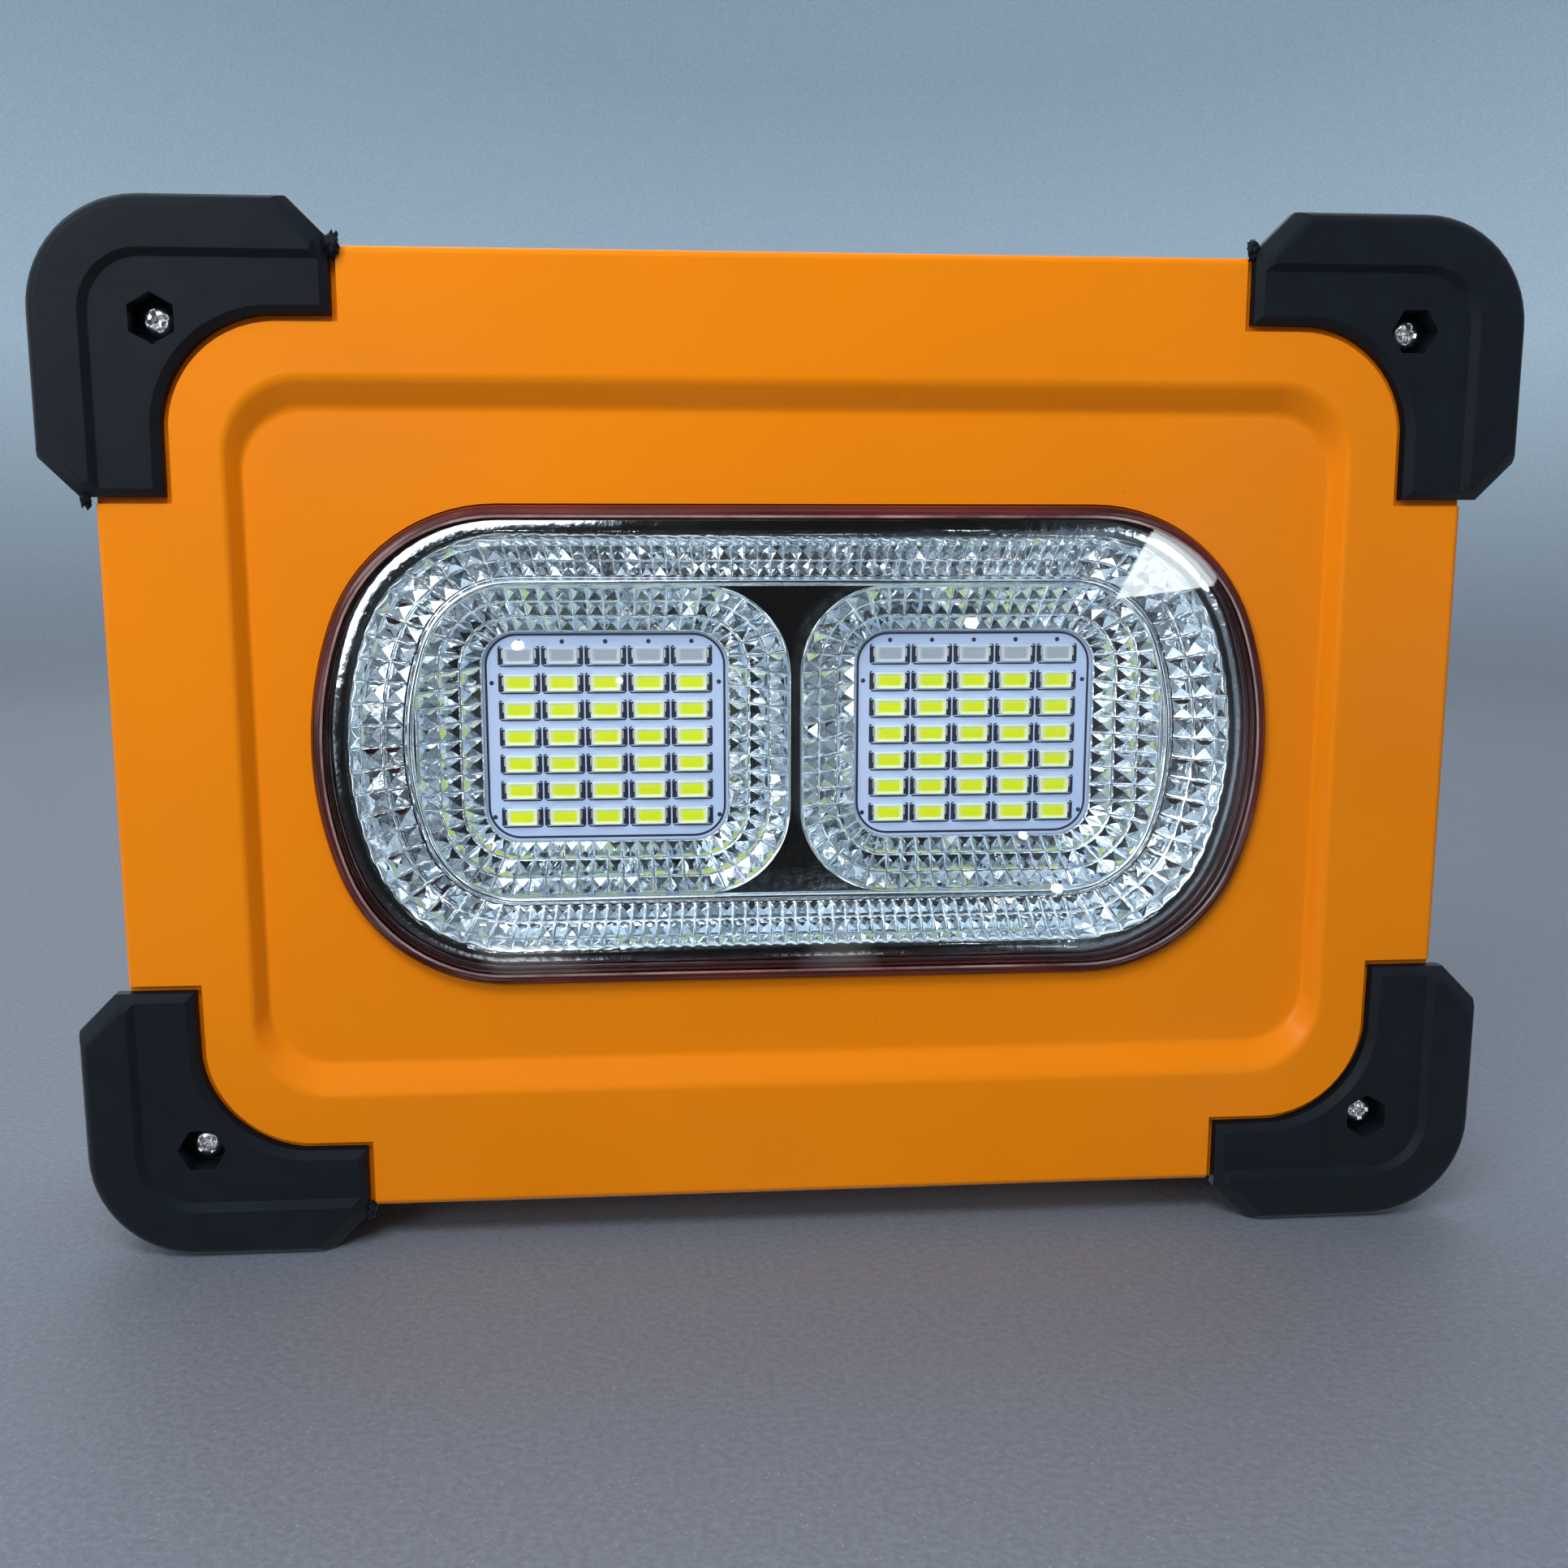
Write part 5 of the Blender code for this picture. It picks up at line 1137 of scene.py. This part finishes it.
def make_stand():
    """Bent, powder-coated rod: rounded pin ends, two arms, a crossbar."""
    y = STAND_HIGH.y - STAND_R
    arm = STAND_HIGH.x - STAND_R
    low = STAND_LOW.z - MID_Z + STAND_R
    pin, bend = STAND_PIN_BEND, STAND_FOOT_BEND
    line = straight((STAND_PIN_X, STAND_HINGE_Z), (arm - pin, STAND_HINGE_Z), 3)
    line += arc(arm - pin, STAND_HINGE_Z - pin, pin, 90, 0, 12)
    line += arc(arm - bend, low + bend, bend, 0, -90, 14)
    line += [(-x, z) for x, z in reversed(line)]
    shape = bmesh.new()
    loops = []
    for i, (x, z) in enumerate(line):
        before, after = line[max(i - 1, 0)], line[min(i + 1, len(line) - 1)]
        along = Vector((after[0] - before[0], 0, after[1] - before[1])).normalized()
        side = along.cross(Vector((0, 1, 0)))
        spots = [(0.0, STAND_R)]
        if i == 0:
            spots = STAND_END
        elif i == len(line) - 1:
            spots = [(-shift, size) for shift, size in reversed(STAND_END)]
        for shift, size in spots:
            centre = Vector((x, y, height(z))) + along * shift
            angles = [tau * k / STAND_SIDES for k in range(STAND_SIDES)]
            loops.append([shape.verts.new(centre + size * (
                side * cos(angle) + Vector((0, sin(angle), 0)))) for angle in angles])
    skin(shape, loops, smooth=True)
    piece(mesh_object("stand_wire", shape), "coated_steel", "coated_steel", "stand", body="stand")


# ---------------- pieces kept from the frame

# The look of each of the record's slots whose name is not the name of a look
SLOT_LOOKS = {
    "case_orange": "orange_abs", "zinc_screw": "zinc", "clear_lens": "lens_clear",
    "plated_reflector": "chrome", "led_board_white": "board_white", "aluminium_plate": "aluminium",
    "nickel_strip": "nickel", "circuit_board": "circuit_green",
}
EDGE_WIDTHS = {"rear_cover": 0.00025, "stand_clip_left": 0.0003, "stand_clip_right": 0.0003,
               "usb_a_socket": 0.0001, "usb_c_socket": 0.0001, "light_pipe": 0.0001}


def paint_kept():
    for part in frame["record"]["subparts"]:
        slot = part["material_slot"]
        materials = NODES[part["node"]].data.materials
        materials.clear()
        materials.append(LOOKS[SLOT_LOOKS.get(slot, slot)])
    for name, width in EDGE_WIDTHS.items():
        bevel(NODES[name], width).harden_normals = True


# ---------------- stage

FLOOR_R = 0.5
CURVE_R = 0.6
WALL_R = 1.5
WALL_TOP = 1.4


def revolve(name, profile, segments=96):
    """An open surface of (radius, world z) points spun about the vertical axis."""
    shape = bmesh.new()
    middle = shape.verts.new((0, 0, profile[0][1]))
    loops = [[shape.verts.new(point)
              for point in circle(Vector(), Matrix.Identity(3), radius, z, segments)]
             for radius, z in profile]
    for i in range(segments):
        shape.faces.new((loops[0][i - 1], loops[0][i], middle))
    for near, far in zip(loops, loops[1:]):
        join(shape, far, near, True)
    return mesh_object(name, shape, False)


def make_floor():
    """A pale floor that curves up into a round wall, out of sight of mirrors."""
    look = Look("floor_pale")
    rise = look.node("ShaderNodeSeparateXYZ", "Z", {0: look.place})
    # Painted light: the colour runs from dark grey-blue on the floor to bright pale blue up the
    # wall, a painted gradient of light on the backdrop
    tone = look.ramp(rise, (0.0, (0.16, 0.182, 0.222)), (0.3, (0.74, 0.9, 1.0)))
    grain = look.tones(900.0, 4.0, (0.8, 0.8, 0.8), (1.0, 1.0, 1.0), 0.35, 0.65)
    # Pale specks in the colour: painted glints of the sparkly foam
    painted_glints = look.ramp(look.cells(760.0), (0.0, 1.0), (0.14, 0.0))
    look.surface(look.mix(look.scaled(painted_glints, 0.0, 0.3), look.mix(1.0, tone, grain, "MULTIPLY"),
                          (0.75, 0.78, 0.82)), 0.6, (look.noise(900.0), 0.5, 0.0004))
    curve = arc(WALL_R - CURVE_R, CURVE_R, CURVE_R, -90, 0, 15)
    floor = revolve("floor", [(FLOOR_R, 0.0)] + curve + [(WALL_R, WALL_TOP)])
    floor.data.materials.append(LOOKS["floor_pale"])
    floor.visible_glossy = False


def make_world():
    """A soft room for diffuse light, and a room with lamps for reflections."""
    world = bpy.data.worlds.new("studio")
    SCENE.world = world
    room = Nodes(world, "Generated")
    across, along, up = [room.node("ShaderNodeSeparateXYZ", axis, {0: room.place})
                         for axis in "XYZ"]
    rise = room.scaled(up, 0.0, 1.0, -0.6, 0.7)
    lamps = room.scaled(room.noise(4.6, 2.0), 0.15, 1.95, 0.4, 0.62)
    sparks = room.scaled(room.noise(8.0, 1.0), 0.0, 5.0, 0.62, 0.68)
    side = room.scaled(across, 1.0, 0.35, -0.4, 1.0)
    front = room.scaled(along, 0.0, 1.0, -0.972, -0.9)
    sharp = room.mix(rise, (0.34, 0.39, 0.45), (0.88, 1.03, 1.18))
    sharp = room.mix(1.0, sharp, lamps, "MULTIPLY")
    sharp = room.mix(1.0, sharp, side, "MULTIPLY")
    sharp = room.mix(1.0, sharp, sparks, "ADD")
    sharp = room.mix(front, (0.012, 0.011, 0.011), sharp)
    soft = room.mix(rise, (0.13, 0.13, 0.135), (0.36, 0.38, 0.42))
    glossy = room.node("ShaderNodeLightPath", "Is Glossy Ray")
    room.feed(room.tree.nodes["Background"].inputs["Color"], room.mix(glossy, soft, sharp))


CAMERA_AT = Vector((-0.02288, -0.27727, 0.11888))
AIM = Vector((0.0, FACE_Y, MID_Z))
COOL = (0.94, 0.97, 1.0)
WHITE = (1.0, 1.0, 1.0)


def area_light(name, place, size, power, colour=WHITE):
    data = bpy.data.lights.new(name, "AREA")
    data.shape = "RECTANGLE"
    data.size, data.size_y = size
    data.energy = power
    data.color = colour
    lamp = link(bpy.data.objects.new(name, data))
    lamp.location = place
    lamp.rotation_mode = "QUATERNION"
    lamp.rotation_quaternion = (AIM - Vector(place)).to_track_quat("-Z", "Y")
    lamp.visible_camera = False
    return lamp


def mirrored_lamp(name, corners, distance, strength, colour=WHITE):
    """A glowing card. Its mirror image in the lens fills the corners (x, height) for the camera."""
    plane = depth(0.0008)
    eye = Vector((CAMERA_AT.x, 2 * plane - CAMERA_AT.y, CAMERA_AT.z))
    shape = bmesh.new()
    verts = []
    for x, z in corners:
        ray = Vector((x, plane, height(z))) - eye
        verts.append(shape.verts.new(eye + ray * (1 + distance / ray.length)))
    shape.faces.new(verts)
    card = mesh_object(name, shape, False)
    look = Look(name)
    look.swap_shader(look.node("ShaderNodeEmission", 0, {"Color": colour, "Strength": strength}))
    card.data.materials.append(look.material)
    card.visible_camera = card.visible_diffuse = card.visible_shadow = False
    return card


def shine_on(lamp, *starts):
    """Lets a lamp reach only the pieces whose names begin with one of the given words."""
    receivers = bpy.data.collections.new(lamp.name + "_receivers")
    for thing in SCENE.objects:
        if thing.name.startswith(starts):
            receivers.objects.link(thing)
    lamp.light_linking.receiver_collection = receivers


# name, place, size, power in watts, colour
STUDIO_LIGHTS = (
    ("key", (-0.11, -0.31, 0.43), (0.3, 0.16), 1.55, (1.0, 0.99, 0.97)),
    ("left_window", (-0.55, -0.8, 0.42), (0.36, 0.26), 3.0, (0.96, 0.98, 1.0)),
    ("top_fill", (0.1, 0.5, 1.1), (1.0, 0.6), 1.6, COOL),
    ("wall_fill", (0.1, 0.5, 1.1), (1.0, 0.6), 5.0, COOL),
    ("well_fill", (0.0, -0.6, 0.22), (0.3, 0.3), 0.8, WHITE),
)
# name, corners of the mirror image in the lens, distance, strength, colour
CARDS = (
    ("window", ((0.0583, 0.0355), (0.052, 0.0234), (0.0682, 0.0255), (0.073, 0.037)), 0.9, 11.0,
     (0.88, 0.95, 1.0)),
    ("patch_left", ((-0.05, 0.047), (-0.05, 0.058), (-0.085, 0.057), (-0.082, 0.046)), 0.9, 9.0),
    ("patch_right", ((0.08, 0.044), (0.082, 0.053), (0.07, 0.055), (0.071, 0.047)), 0.9, 9.0),
    ("lip_glow", ((-0.135, 0.01), (-0.13, 0.075), (-0.08, 0.09), (-0.026, 0.085),
                  (-0.034, 0.042), (-0.05, 0.036), (-0.066, 0.022), (-0.073, 0.012)), 0.9, 3.4,
     (0.93, 0.96, 1.0)),
)
# x, height and half size of the small lamps mirrored in the lens
GLINTS = ((0.0281, 0.0196, 0.0011), (-0.0454, 0.0162, 0.0009), (0.0376, -0.016, 0.0007),
          (0.0437, -0.0252, 0.0009), (-0.0293, 0.0106, 0.0005))


def make_lights():
    """Studio lamps and cards. Three reach one thing each, so this comes after the pieces."""
    lamps = {row[0]: area_light(*row) for row in STUDIO_LIGHTS}
    cards = {row[0]: mirrored_lamp(*row) for row in CARDS}
    for i, (x, z, half) in enumerate(GLINTS):
        mirrored_lamp("glint_" + str(i), rounded_rect(half, half * 0.8, half * 0.7, 4, x, z),
                      0.6, 26.0)
    lamps["key"].visible_glossy = False
    shine_on(lamps["wall_fill"], "floor")
    shine_on(lamps["well_fill"], "led_panel", "leds_", "board_marks", "led_legs")
    shine_on(cards["lip_glow"], "reflector_plated")


def make_camera():
    data = bpy.data.cameras.new("camera")
    data.sensor_width = 36.0
    data.lens = 36.0 * 1936 / 1932
    data.clip_start = 0.01
    camera = link(bpy.data.objects.new("camera", data))
    camera.location = CAMERA_AT
    camera.rotation_euler = [radians(angle) for angle in (80.791, -0.034, -4.54)]
    SCENE.camera = camera


SCENE.view_settings.view_transform = "Standard"
make_camera()
make_floor()
make_world()
paint_kept()
make_front_shell()
for corner_tag, corner_signs in CORNERS.items():
    make_bumper(corner_tag, corner_signs)
    make_corner_screw(corner_tag, corner_signs)
make_lens()
make_reflector()
for side_name, side_sign in SIDES.items():
    make_led_board(side_name, side_sign)
make_port_cover()
make_power_button()
make_socket_insides()
make_solar_panel()
make_stand()
make_nubs()
make_lights()
